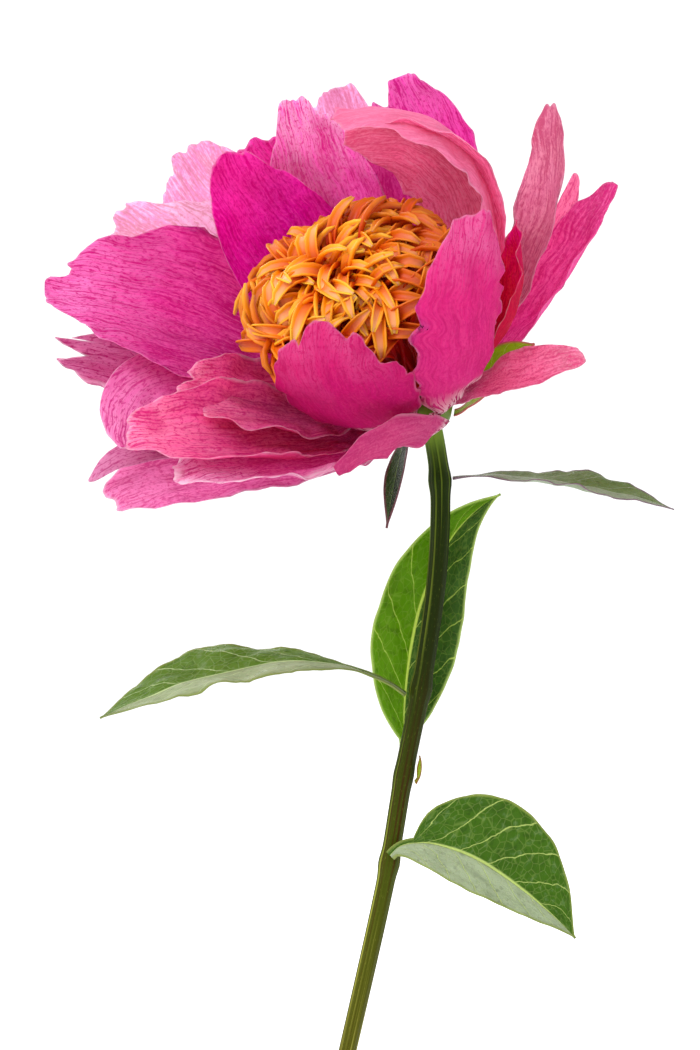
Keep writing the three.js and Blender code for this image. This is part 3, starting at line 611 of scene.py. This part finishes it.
# Colours of the stem from its cut end to the bloom: all over, on its ridges and in its furrows.
STEM_GREENS = [(0.0, "#58540c"), (0.4, "#4c4a08"), (0.62, "#3a4404"), (0.8, "#1a2602"), (0.95, "#1c2a04"),
               (0.97, "#3a4c14"), (1.0, "#7d9a34")]
STEM_RIDGE_COLOURS = [(0.0, "#b4a85c"), (0.5, "#a8a448"), (0.75, "#8c9c34"), (1.0, "#5c7420")]
STEM_FURROW_COLOURS = [(0.3, "#3c2c08"), (0.62, "#3c1c06"), (0.8, "#1c2402")]


def stem_material():
    """Stem: waxy green with pale ridges above, olive-brown and reddish lower down."""
    look = Shader("stem_green")
    round_it, along = look.uv()
    ridges = look.noise(round_it, along, 4.0, (16.0, 2.0))
    specks = look.noise(round_it, along, 9.0, (60.0, 240.0))
    green = look.ramp(along, STEM_GREENS)
    pale = look.ramp(along, STEM_RIDGE_COLOURS)
    red = look.ramp(along, STEM_FURROW_COLOURS)
    colour = look.blend(look.smooth(ridges, 0.5, 0.62, 0.7), green, pale)
    colour = look.blend(look.smooth(ridges, 0.46, 0.36, 0.85), colour, red)
    colour = look.blend(look.smooth(specks, 0.6, 0.75, 0.25), colour, pale)
    height = look.maths("ADD", ridges, look.times(specks, 0.2))
    return look.finish(colour, {"Roughness": 0.45, "Specular IOR Level": 0.06,
                                "Normal": look.bump(height, 0.5, 0.0003)})


GLAZE = linear("#c6beae")
GLAZE_CLOUD = linear("#bfb6a5")
GLAZE_DOTS = linear("#7c6a54")
CLAY = linear("#a88c68")

# Heights in metres between which the glaze gives way to bare clay.
BARE_FOOT = (0.0026, 0.0020)


def glaze_material():
    """Off-white glaze, a little uneven, over a bare foot ring."""
    look = Shader("vase_glaze")
    place_at = look.add("TexCoord").outputs["Object"]
    height = look.add("SeparateXYZ", {0: place_at}).outputs[2]
    cloud = look.add("TexNoise", {"Vector": place_at, "Scale": 45.0, "Detail": 4.0}).outputs[0]
    dots = look.add("TexNoise", {"Vector": place_at, "Scale": 900.0, "Detail": 2.0}).outputs[0]
    colour = look.blend(look.smooth(cloud, 0.35, 0.7), GLAZE, GLAZE_CLOUD)
    colour = look.blend(look.smooth(dots, 0.7, 0.76, 0.6), colour, GLAZE_DOTS)
    bare = look.smooth(look.times_plus(cloud, 0.0012, height), *BARE_FOOT)
    colour = look.blend(bare, colour, CLAY)
    return look.finish(colour, {"Roughness": look.smooth(bare, 0.0, 1.0, 0.8, 0.2),
                                "Specular IOR Level": 0.4, "Normal": look.bump(cloud, 0.15, 0.001)})


def water_material():
    """Clear water with a faint tint that varies."""
    look = Shader("water")
    place_at = look.add("TexCoord").outputs["Object"]
    shade = look.add("TexNoise", {"Vector": place_at, "Scale": 30.0}).outputs[0]
    colour = look.blend(look.times(shade, 0.1), linear("#f2fbf8"), linear("#e3f2e8"))
    return look.finish(colour, {"Roughness": 0.02, "Transmission Weight": 1.0, "IOR": 1.333})


# ------------------------ petals

# Each ring of petals, from the inside out: where it leaves the receptacle and how far it opens from the
# axis. Then how far a petal's foot goes that way before it bends.
RING_RADIUS = [9.5, 9.5, 9.2, 8.6, 7.8]
RING_HEIGHT = [2, 0, -2, -4, -6]
RING_OPENING = [60, 66, 72, 78, 84]
PETAL_REACH = 20

# Each petal as in the CAD: its place round the receptacle, its ring, where its midrib heads and ends from
# the heart, its half width and its bends. Then its kind of colour in the CAD, its rim's paleness and width,
# and the colours of its foot, body and end.
PETALS = {
    "petal_left": dict(
        azimuth=182, ring=1, toward=[-56, -1, 26], tip=[-92, -4, 26], half=25, roll=[10, 10, 10, 15],
        cup=[25, 25], neck=2, widest=0.68, round=0.4, notches=[(-0.5, 0.04, 0.2), (0.3, 0.05, 0.2)],
        kind="pink", colours=["#ff58b4", "#e244a6", "#f09cd8"]),
    "petal_left_split": dict(
        azimuth=199, ring=4, toward=[-57, 5.5, 7.5], tip=[-91.5, 1.5, 11.5], half=8, round=0.15, opening=93,
        roll=[-20, -40, -75], cup=[50, 30], claw=0.25, notches=[(0.5, 0.07, 0.14), (0, 0.1, 0.4)],
        kind="magenta", rim=(0.8, 1.6), colours=["#b02c78", "#c03c88", "#e090bc"]),
    "petal_left_arching": dict(
        azimuth=209, ring=2, toward=[-76, -9, 18], tip=[-70, -21, -13], half=12, roll=[0, -10, -20],
        cup=[20, -15], claw=0.3, kind="magenta", rim=(0.7, 1.2), colours=["#f468b8", "#e468b4", "#f8b0dc"]),
    "petal_low_finger": dict(
        azimuth=222, ring=3, toward=[-64, -11, -4], tip=[-81, -12, -21], half=5.5, roll=[-20], claw=0.3,
        kind="pale", colours=["#ca5b9a", "#d479ae", "#dfa2c4"]),
    "petal_low_outer": dict(
        azimuth=237, ring=4, toward=[-53, -7, -13], tip=[-76.5, -9, -26], half=11.5, reach=16, opening=89,
        roll=[-10, -20, -25], claw=0.12, widest=0.74, kind="pink", rim=(0.6, 1.2),
        colours=["#c83c8c", "#ea84c0", "#f0a4d0"]),
    "petal_low_ruffled": dict(
        azimuth=257, ring=2, toward=[-38, -37, -12], tip=[-58, -46, -18.5], half=14, reach=18,
        roll=[-10, -15, -15], ruffle=[1.2, 2.5, 0], kind="pink", rim=(0.9, 3.5),
        colours=["#b51f80", "#de5da6", "#f4c8e4"]),
    "petal_front": dict(
        azimuth=280, ring=0, toward=[-25, -58, -2], tip=[-22.5, -56, 18], half=18.5, cup=[45, 45],
        notches=[(-0.3, 0.03, 0.1), (0.35, 0.07, 0.12)], kind="pink", lobed=0.03,
        colours=["#b8004c", "#d8087c", "#ec78b4"]),
    "petal_front_right": dict(
        azimuth=337, ring=1, toward=[8, -66, 13], tip=[14, -56, 44], half=14, neck=1.4, roll=[0, -20, -25],
        cup=[50, 45], ruffle=[1, 2, 1], kind="pink", lobed=0.08, colours=["#cc0450", "#e42c90", "#f0a0d2"]),
    "petal_right_inner": dict(
        azimuth=17, ring=0, toward=[28, -20, 21], tip=[23, -23, 42], half=12, cup=[50, 50], kind="magenta",
        colours=["#b8003d", "#d8004b", "#f0099f"]),
    "petal_back_right": dict(
        azimuth=103, ring=2, toward=[11, 26, 54], tip=[-4.5, 13, 79.5], half=16.5, round=0.22,
        notches=[(-0.4, 0.05, 0.25)], kind="pink", colours=["#ee21df", "#eb4ebe", "#f392d4"]),
    "petal_back_lobed": dict(
        azimuth=125, ring=1, toward=[-24, 18, 49], tip=[-30, 8, 74], half=15, cup=[40, 40],
        notches=[(0.35, 0.05, 0.2)], kind="magenta", colours=["#c4004c", "#f460c4", "#f4d0e8"]),
    "petal_back": dict(
        azimuth=114, ring=3, toward=[-12, 39, 50], tip=[-22, 30, 78], half=17, notches=[(-0.3, 0.05, 0.2)],
        kind="pale", colours=["#e04bb4", "#f8b0e4", "#fcd4f0"]),
    "petal_back_left_inner": dict(
        azimuth=147, ring=0, toward=[-35, 12, 36], tip=[-48, 4, 60], half=17, round=0.45, kind="magenta",
        colours=["#ff40b8", "#ec10b0", "#ec40b4"]),
    "petal_back_left_middle": dict(
        azimuth=139, ring=2, toward=[-29, 24, 42], tip=[-42, 16, 64], half=16, notches=[(0.2, 0.04, 0.2)],
        kind="pink", colours=["#f050b8", "#ec28b4", "#e070bc"]),
    "petal_back_left_outer": dict(
        azimuth=150, ring=4, toward=[-46, 50, 40], tip=[-61, 46, 63], half=23, kind="pale",
        colours=["#f8dcec", "#f2bce0", "#f0a4d2"]),
    "petal_left_outer": dict(
        azimuth=161, ring=3, toward=[-53, 38, 33], tip=[-78, 33, 45], half=19.5, kind="pale",
        colours=["#fce0f2", "#f6c0e2", "#f4b4de"]),
    "petal_right_tall": dict(
        azimuth=60, ring=3, toward=[38.5, 8, 36], tip=[33, 0, 73], half=8.5, cup=[60, 60], kind="pink",
        colours=["#ffd8ea", "#e490b4", "#d0688c"]),
    "petal_right_low": dict(
        azimuth=44, ring=4, toward=[36.5, 14, 29.5], tip=[49.5, 10, 53], half=8.8, cup=[60, 60],
        kind="pink", colours=["#f450b8", "#f468b8", "#d85898"]),
    "petal_right_sliver": dict(
        azimuth=72, ring=4, toward=[37, 24, 30], tip=[41.5, 24, 56], half=5, cup=[60, 60], kind="coral",
        colours=["#e86aa0", "#ec7ab0", "#f49abc"]),
    "petal_right_drooping": dict(
        azimuth=8, ring=3, toward=[20, -20, 5.5], tip=[40, -24, 10], half=6.5, reach=8, opening=60,
        roll=[0, 0, 10], cup=[20, 20], claw=0.4, kind="coral", colours=["#e8489a", "#fc8abc", "#dc8ca4"]),
    "petal_front_drooping": dict(
        azimuth=318, ring=3, toward=[-5, -48, -3], tip=[-19.5, -56, -16.5], half=5.5, reach=16, opening=74,
        roll=[0, 25, 50], cup=[20, 20], claw=0.4, kind="coral", colours=["#dc619a", "#d84e8f", "#ca2e7c"]),
}

# Petals creased along their length: each is two blades grown together at the foot.
CREASED_PETALS = {
    "petal_folded_over": [
        dict(azimuth=52.5, ring=2, toward=[30, 2.5, 81.5], tip=[-20, -22.5, 66], half=18, neck=2.8,
             roll=[0, -20, -30, -30], cup=[50, 40], kind="coral", colours=["#ff84c0", "#ff94c4", "#f088b4"]),
        dict(azimuth=54, ring=2, toward=[23, -2, 71], tip=[-18, -20, 62], half=14, neck=2.4,
             roll=[0, 10, 20, 30], cup=[50, 40]),
    ],
    "petal_low_folded": [
        dict(azimuth=241, ring=1, toward=[-49, -44, -7], tip=[-69, -46, -8.5], half=15,
             roll=[-10, -30, -35], cup=[60, 40], curl=[20, 40], kind="coral",
             rim=(0.5, 1.2), colours=["#f03c98", "#ee58a4", "#fca8cc"]),
        dict(azimuth=230, ring=0, toward=[-40, -30, 1], tip=[-59, -34, 1], half=15, roll=[0, -10, -20],
             notches=[(-0.4, 0.1, 0.2), (0.3, 0.1, 0.2)]),
    ],
}


def rooted_rib(blade, radius, height, opening, reach):
    """Midrib that leaves the receptacle at an opening from its axis and bends to where its table sends it."""
    turn = math.radians(opening)
    bend = spot(blade["azimuth"], radius + reach * math.sin(turn), height + reach * math.cos(turn))
    return [spot(blade["azimuth"], radius, height), bend, HEART + blade["toward"], HEART + blade["tip"]]


def petal_slab(petal, seed):
    """Slab of a petal, which leaves the receptacle as its ring does."""
    ring = petal["ring"]
    rib = rooted_rib(petal, RING_RADIUS[ring], RING_HEIGHT[ring], petal.get("opening", RING_OPENING[ring]),
                     petal.get("reach", PETAL_REACH))
    return slab(blade_grid({**petal, "rib": rib, "up": AXIS, "seed": seed}))


def make_petals():
    """Every petal as a piece of its own, with a seed of its own."""
    blades = {name: [petal] for name, petal in PETALS.items()}
    blades.update(CREASED_PETALS)
    for number, (name, petals) in enumerate(blades.items()):
        seed = PETAL_SEED + SEED_STEP * number
        parts = [petal_slab(petal, seed + k) for k, petal in enumerate(petals)]
        piece = new_object(name + "_fine", *joined(parts))
        place(piece, "petal_" + petals[0]["kind"], petal_material(name, petals[0], seed), name)


# ------------------------ boss of staminodes

STAMINODE_COUNT = 215
STAMINODE_WIDTH = 4.3
GOLDEN_ANGLE = 137.508
BOSS_RADIUS = 27
BOSS_HEIGHT = 50
BOSS_DROOP = 9
STAMINODE_ROOT_RADIUS = 6.5
STAMINODE_ROOT_HEIGHT = [20, 8]
STAMINODE_ROWS = 18
STAMINODE_COLUMNS = 8
STAMINODE_THICKNESS = 0.6
STAMINODE_LEAST = 0.22
BLUNT_LENGTH = 0.22
COMB_SEED = 90
COMB_LENGTH = 22
COMB_TURN = math.radians(70)
STEEPEST = math.radians(70)
SHADED_AZIMUTH = 70
CORE = [[6, 4.3], [7, 12], [11, 24], [16, 33], [17, 38], [13, 41], [5, 43.5], [0.2, 43.8]]


def staminode(i, rng):
    """One strap: it rises from the middle and its last third lies over on the dome, margins rolled up."""
    share = math.sqrt((i + 0.5) / STAMINODE_COUNT)
    azimuth = i * GOLDEN_ANGLE
    radius = BOSS_RADIUS * share
    height = BOSS_HEIGHT - BOSS_DROOP * share ** 3 + rng.uniform(-4, 1.5)
    top = spot(azimuth, radius, height)
    out = spot(azimuth, 1, 0) - HEART
    around = np.cross(AXIS, out)
    tilt = STEEPEST * share ** 1.6
    normal = AXIS * math.cos(tilt) + out * math.sin(tilt)
    downhill = out * math.cos(tilt) - AXIS * math.sin(tilt)
    combed = float(ripple(COMB_SEED, top[0], top[2], COMB_LENGTH) * COMB_TURN)
    turn = combed + rng.normal(0, math.radians(mix(60, 30, share)))
    lying = downhill * math.cos(turn) + around * math.sin(turn)
    length = rng.uniform(8, 13)
    root = spot(azimuth, STAMINODE_ROOT_RADIUS * share, mix(*STAMINODE_ROOT_HEIGHT, share))
    rib = [
        root,
        mix(root, top, 0.55) - lying * 2,
        top - normal * 8 - lying * length * 0.8,
        top + normal * 1.5 - lying * length * 0.4,
        top + normal * 2 + lying * length * 0.2,
        top + normal * rng.uniform(-2, 3) + lying * length * 0.6,
    ]
    s = np.linspace(0, 1, STAMINODE_ROWS + 1)[:, None] + np.zeros((1, STAMINODE_COLUMNS + 1))
    t = np.linspace(-1, 1, STAMINODE_COLUMNS + 1)[None, :] + 0 * s
    roll = rng.uniform(-15, 15)
    track = rail(rib, -lying)
    centre, face, side = frame_at(track, s, [roll, roll, roll + rng.uniform(-40, 40)])
    width = STAMINODE_WIDTH / 2 * rng.uniform(0.75, 1.1)
    belly = 0.25 + 0.75 * np.clip((s - 0.35) / 0.35, 0, 1) ** 1.2
    blunt = np.sqrt(1 - np.clip((s - (1 - BLUNT_LENGTH)) / BLUNT_LENGTH, 0, 1) ** 2)
    half = np.maximum(width * belly * mix(0.3, 1, blunt), STAMINODE_LEAST)
    lift = half * (0.5 * t ** 2 + 0.2 * t ** 4)
    points = centre + side * (t * half * (1 - 0.25 * t ** 2))[..., None] + face * lift[..., None]
    rim = half * (1 - np.abs(t)) + 0.8
    vertices, faces, uv, attributes = slab(
        {"points": points, "t": t, "s": s, "rim": rim, "thin": STAMINODE_THICKNESS})
    # Painted shade: straps on the side away from the light (towards SHADED_AZIMUTH), and more so towards the
    # boss's rim, get a higher value, with a random spread of tone.
    back = math.cos(math.radians(azimuth - SHADED_AZIMUTH)) * share
    shade_and_tone = np.clip(0.1 + 0.5 * max(back, 0) + 0.75 * share ** 2 + rng.uniform(-0.2, 0.2), 0, 1)
    attributes["shade_and_tone"] = np.full(len(vertices), shade_and_tone)
    return vertices, faces, uv, attributes


def make_boss():
    """All staminodes with the smaller core that they stand out of, as one piece."""
    rng = np.random.default_rng(BOSS_SEED)
    slabs = [staminode(i, rng) for i in range(STAMINODE_COUNT)]
    points, faces = turned(CORE)
    count = len(points)
    # The core shows only in the gaps between the straps: it takes the colour of their feet, darkened by
    # painted shade.
    core = (points, faces, np.tile([0.5, 0.1], (count, 1)),
            {"rim": np.full(count, 5.0), "under": np.zeros(count), "shade_and_tone": np.full(count, 0.9)})
    piece = new_object("staminodes_fine", *joined(slabs + [core]))
    place(piece, "staminode_gold", staminode_material(), "staminodes")


# ------------------------ leaves and calyx

# Each leaf as in the CAD: its midrib, the way that its face looks, its half width and its bends. Lists of two
# are its two hands, and least is the least half width at its stalk and at its tip.
LEAVES = {
    "leaf_left": dict(
        rib=[[22.8, 0.4, 228.6], [4, -2, 243], [-22, -8, 238], [-53, -10, 224]], up=[0.1, -0.36, 0.93],
        half=10, fold=[4, 6], cup=[15, 15], stalk=[0.12, 0.16], widest=[0.5, 0.56], breadth=[0.66, 1],
        least=[1.1, 0.3], slot="leaf_dark"),
    "leaf_back": dict(
        rib=[[22.6, 4.5, 212.5], [21.8, 10, 236], [26.8, 13, 268], [47, 8, 278.5]], up=[0, -1, 0.1],
        half=11, fold=[8, 8], cup=[10, 10], stalk=[0.04, 0.04], widest=[0.42, 0.4], breadth=[0.97, 1.1],
        least=[1.1, 0.3], slot="leaf_backlit"),
    "leaf_right": dict(
        rib=[[34.9, 6.4, 282.6], [50, 4, 285], [72, -2, 281], [89.5, -4, 275.4]], up=[0.05, -0.26, 1],
        half=7.5, fold=[3, 6], cup=[5, 8], stalk=[0.04, 0.04], widest=[0.56, 0.5], breadth=[1, 1],
        least=[0.9, 0.3], slot="leaf_grey"),
    "leaf_low": dict(
        rib=[[19.3, -4.6, 188.5], [25, -5.5, 197], [45, -9, 190], [65, -11, 169]], up=[-0.1, -0.75, 0.6],
        half=16, fold=[10, 22], cup=[15, 20], stalk=[0.12, 0], widest=[0.4, 0.42], breadth=[1.06, 0.62],
        least=[1.6, 0.3], slot="leaf_dark"),
    "sprout": dict(
        rib=[[25.5, -0.6, 206.5], [26.6, -1.4, 208], [27, -1.6, 211], [26.4, -1.4, 213.4]],
        up=[-1, -0.4, 0.2], half=1.4, stalk=[0, 0], widest=[0.5, 0.5], breadth=[1, 1], least=[0.7, 0.3],
        frill=0, crumple=0, slot="sepal_lime"),
}
LEAF_THICKNESS = 0.5
STALK_THICKNESS = 1.5

# The green blades under the bloom, whose midribs are told as a petal's are.
CALYX = {
    "bract": dict(azimuth=228, toward=[-6, -7, -24], tip=[-7.5, -8, -33], half=3.2, reach=5, opening=120,
                  widest=[0.45, 0.45], slot="leaf_dark"),
    "sepal_right": dict(azimuth=13, toward=[17, -6, 8], tip=[29, -7, 12.5], half=5.5, reach=6, opening=92,
                        roll=[0, 15, 30], slot="sepal_lime"),
    "sepal_back": dict(azimuth=88, toward=[12, 20, 4], tip=[20, 26, 10], half=6.5, reach=6, opening=96,
                       slot="sepal_lime"),
    "sepal_left": dict(azimuth=178, toward=[-14, 13, -8], tip=[-26, 16, -9], half=6, reach=6, opening=108,
                       slot="sepal_lime"),
}
CALYX_RADIUS = 6.4
CALYX_HEIGHT = -9.2
CALYX_BLADE = {
    "stalk": [0, 0], "widest": [0.6, 0.6], "breadth": [1, 1], "least": [1.2, 0.3], "frill": 0.1,
    "crumple": 0.1, "rows": 40, "columns": 20, "thickness": 0.6,
}


def make_leaf(name, leaf, seed):
    """A leaf, thicker at its stalk."""
    grid = blade_grid({**leaf, "up": np.array(leaf["up"], float), "seed": seed})
    stalk = max(leaf["stalk"])
    grid["thin"] = np.maximum(LEAF_THICKNESS, STALK_THICKNESS * (1 - grid["s"] / (stalk + 0.1)))
    piece = new_object(name + "_fine", *slab(grid))
    place(piece, leaf["slot"], leaf_material(name, float(seed)), name)


def make_calyx(name, blade, seed):
    """A bract or sepal, from under the receptacle."""
    rib = rooted_rib(blade, CALYX_RADIUS, CALYX_HEIGHT, blade["opening"], blade["reach"])
    grid = blade_grid({**CALYX_BLADE, **blade, "rib": rib, "up": AXIS, "seed": seed})
    piece = new_object(name + "_fine", *slab(grid))
    place(piece, blade["slot"], leaf_material(name, float(seed)), name)


# ------------------------ stem

STEM_PATH = [
    [-22, 0, 6.8], [-7.4, 0, 70], [9, 0, 141], [16.6, 0, 175], [18.8, 0, 186], [22.4, 0.5, 208],
    [26.7, 1, 230], [30.2, 3, 253], [31.5, 5, 268], [31.6, 6.5, 282], [30.6, 7, 290], [29, 5.4, 298],
]
STEM_RADIUS = [2.1, 2.6]
LEAF_JOINTS = [[186, 0.45], [208, 0.25], [230, 0.5], [282, 0.5]]
JOINT_REACH = 2.6
STEM_SIDES = 48
STEM_RINGS = 220
STEM_RIDGES = 7
RIDGE_MIDDLE = 0.965
RIDGE_HEIGHT = 0.03
RECEPTACLE = [[2.7, -12], [5.4, -9.6], [6.9, -7], [7.4, -5], [8.2, -3], [8.9, 0], [9, 2.4], [7.6, 4]]


def catmull(points, count):
    """Evenly spaced points along a centripetal Catmull-Rom curve."""
    points = np.array(points, float)
    points = np.concatenate([[2 * points[0] - points[1]], points, [2 * points[-1] - points[-2]]])
    dense = []
    for p0, p1, p2, p3 in zip(points, points[1:], points[2:], points[3:]):
        t1 = np.linalg.norm(p1 - p0) ** 0.5
        t2 = t1 + np.linalg.norm(p2 - p1) ** 0.5
        t3 = t2 + np.linalg.norm(p3 - p2) ** 0.5
        for t in np.linspace(t1, t2, 20, endpoint=False):
            a1 = (t1 - t) / t1 * p0 + t / t1 * p1
            a2 = (t2 - t) / (t2 - t1) * p1 + (t - t1) / (t2 - t1) * p2
            a3 = (t3 - t) / (t3 - t2) * p2 + (t - t2) / (t3 - t2) * p3
            b1 = (t2 - t) / t2 * a1 + t / t2 * a2
            b2 = (t3 - t) / (t3 - t1) * a2 + (t - t1) / (t3 - t1) * a3
            dense.append((t2 - t) / (t2 - t1) * b1 + (t - t1) / (t2 - t1) * b2)
    dense = np.array(dense + [points[-2]])
    lengths = np.concatenate([[0], np.cumsum(np.linalg.norm(np.diff(dense, axis=0), axis=1))])
    even = np.linspace(0, lengths[-1], count)
    return np.stack([np.interp(even, lengths, dense[:, i]) for i in range(3)], -1)


def make_stem():
    """The ridged stem, swollen at its leaf joints, and the receptacle that tops it."""
    centres = catmull(STEM_PATH, STEM_RINGS)
    side = np.array([1.0, 0, 0])
    vertices, uv = [], []
    for i, centre in enumerate(centres):
        ahead = unit(centres[min(i + 1, STEM_RINGS - 1)] - centres[max(i - 1, 0)])
        side = unit(side - ahead * np.dot(side, ahead))
        up = np.cross(ahead, side)
        share = i / (STEM_RINGS - 1)
        radius = mix(*STEM_RADIUS, share)
        radius += sum(swelling * math.exp(-((centre[2] - level) / JOINT_REACH) ** 2)
                      for level, swelling in LEAF_JOINTS)
        for k in range(STEM_SIDES):
            turn = 2 * math.pi * k / STEM_SIDES
            ridged = radius * (RIDGE_MIDDLE + RIDGE_HEIGHT * math.cos(STEM_RIDGES * turn + 2 * share))
            vertices.append(centre + (side * math.cos(turn) + up * math.sin(turn)) * ridged)
            uv.append([k / STEM_SIDES, share])
    material = stem_material()
    stem = new_object("stem_fine", vertices, tube_faces(STEM_RINGS, STEM_SIDES), uv, {})
    place(stem, "stem_green", material, "stem")
    points, faces = turned(RECEPTACLE)
    knob = new_object("receptacle_fine", points, faces, np.tile([0.5, 0.98], (len(points), 1)), {})
    place(knob, "stem_green", material, "stem")


# ------------------------ vase and water

VASE_HEIGHT = 130
VASE_WALL = 2.7
VASE_FLOOR = 6
FOOT_RADIUS = 27
BELLY_RADIUS = 34.5
BELLY_HEIGHT = 38
NECK_RADIUS = 10.8
NECK_HEIGHT = 114
LIP_RADIUS = 12

# Radius and height at places of the vase's outside, of its foot ring and of its lip.
VASE_OUTLINE = [
    [FOOT_RADIUS, 0],
    [mix(FOOT_RADIUS, BELLY_RADIUS, 0.72), BELLY_HEIGHT * 0.4],
    [BELLY_RADIUS, BELLY_HEIGHT],
    [mix(NECK_RADIUS, BELLY_RADIUS, 0.72), mix(BELLY_HEIGHT, NECK_HEIGHT, 0.38)],
    [mix(NECK_RADIUS, BELLY_RADIUS, 0.2), mix(BELLY_HEIGHT, NECK_HEIGHT, 0.72)],
    [NECK_RADIUS, NECK_HEIGHT],
    [LIP_RADIUS, VASE_HEIGHT - 1],
]
VASE_FOOT = [[0.01, 0.4], [23, 0.4], [24, 0], [26, 0], [26.9, 0.6], [27.4, 1.4]]
VASE_LIP = [[12, 129], [11.75, 129.6], [11.1, 130], [10, 130], [9.55, 129.6], [9.3, 129]]
VASE_SIDES = 128
OUTLINE_STEPS = 60


def make_vase():
    """The vase's wall turned in one go: foot ring, outside, lip, inside and floor."""
    outline = catmull([[x, 0, z] for x, z in VASE_OUTLINE], OUTLINE_STEPS)[:, [0, 2]]
    outer = [[x, z] for x, z in outline if 2 < z < VASE_HEIGHT - 1.5]
    inner = [[x - VASE_WALL, z] for x, z in outline if VASE_FLOOR + 3 < z < VASE_HEIGHT - 1.5]
    floor_radius = inner[0][0]
    floor = [[floor_radius - 0.6, VASE_FLOOR + 1.6], [floor_radius - 3, VASE_FLOOR], [0.01, VASE_FLOOR]]
    profile = VASE_FOOT + outer + VASE_LIP + inner[::-1] + floor
    turns = [2 * math.pi * k / VASE_SIDES for k in range(VASE_SIDES)]
    rings = np.array([[x * math.cos(turn), x * math.sin(turn), z] for x, z in profile for turn in turns])
    faces = tube_faces(len(profile), VASE_SIDES)
    vase = new_object("vase_fine", rings, faces, np.zeros((len(rings), 2)), {})
    place(vase, "vase_glaze", glaze_material(), "vase")


# ------------------------ camera, light and floor

# What the camera looks at, which is the middle of the photo's frame, and from how far.
TARGET = np.array([8.95, 0, 271.25])
CAMERA_DISTANCE = 729
CAMERA_ELEVATION = math.radians(4)
WORLD_STRENGTH = 1.15
FLOOR_REACH = 3.0


def make_camera():
    """Camera at the photo's angle, looking slightly down."""
    camera = bpy.data.cameras.new("camera")
    camera.lens = 100
    camera.sensor_width = 36
    camera.clip_start = 0.01
    piece = put_in_scene("camera", camera)
    back = np.array([0, -math.cos(CAMERA_ELEVATION), math.sin(CAMERA_ELEVATION)])
    piece.location = (TARGET + back * CAMERA_DISTANCE) * MM
    piece.rotation_euler = (math.pi / 2 - CAMERA_ELEVATION, 0, 0)
    bpy.context.scene.camera = piece


def soft_lamp(name, place_at, size, power):
    """Area lamp that looks at the bloom, with its place and size in metres."""
    lamp = bpy.data.lights.new(name, "AREA")
    lamp.size = size
    lamp.energy = power
    piece = put_in_scene(name, lamp)
    piece.location = place_at
    aim = HEART * MM - place_at
    piece.rotation_euler = (
        math.atan2(math.hypot(aim[0], aim[1]), -aim[2]), 0, math.atan2(aim[1], aim[0]) - math.pi / 2)


def make_stage():
    """White surroundings, two soft lamps and a pale floor that is no part of the object."""
    world = bpy.data.worlds.new("studio")
    world.use_nodes = True
    background = world.node_tree.nodes["Background"]
    background.inputs["Color"].default_value = (1, 1, 1, 1)
    background.inputs["Strength"].default_value = WORLD_STRENGTH
    bpy.context.scene.world = world
    bpy.context.scene.view_settings.view_transform = "Standard"
    soft_lamp("lamp_front", (-0.7, -0.8, 1.1), 0.6, 9)
    soft_lamp("lamp_back", (-0.5, 1.0, 0.9), 0.8, 11)
    look = Shader("floor")
    look.finish((1, 1, 1, 1), {"Roughness": 1.0, "Specular IOR Level": 0.0})
    mesh = bpy.data.meshes.new("floor")
    corners = [(-1, -1), (1, -1), (1, 1), (-1, 1)]
    mesh.from_pydata([(x * FLOOR_REACH, y * FLOOR_REACH, 0) for x, y in corners], [], [(0, 1, 2, 3)])
    mesh.materials.append(look.material)
    floor = put_in_scene("floor", mesh)


# ------------------------ the whole scene

make_camera()
make_stage()
make_stem()
make_petals()
make_boss()
for number, (name, leaf) in enumerate(LEAVES.items()):
    make_leaf(name, leaf, LEAF_SEED + SEED_STEP * number)
for number, (name, blade) in enumerate(CALYX.items()):
    make_calyx(name, blade, CALYX_SEED + SEED_STEP * number)
make_vase()
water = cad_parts["water"].data
water.materials.clear()
water.materials.append(water_material())
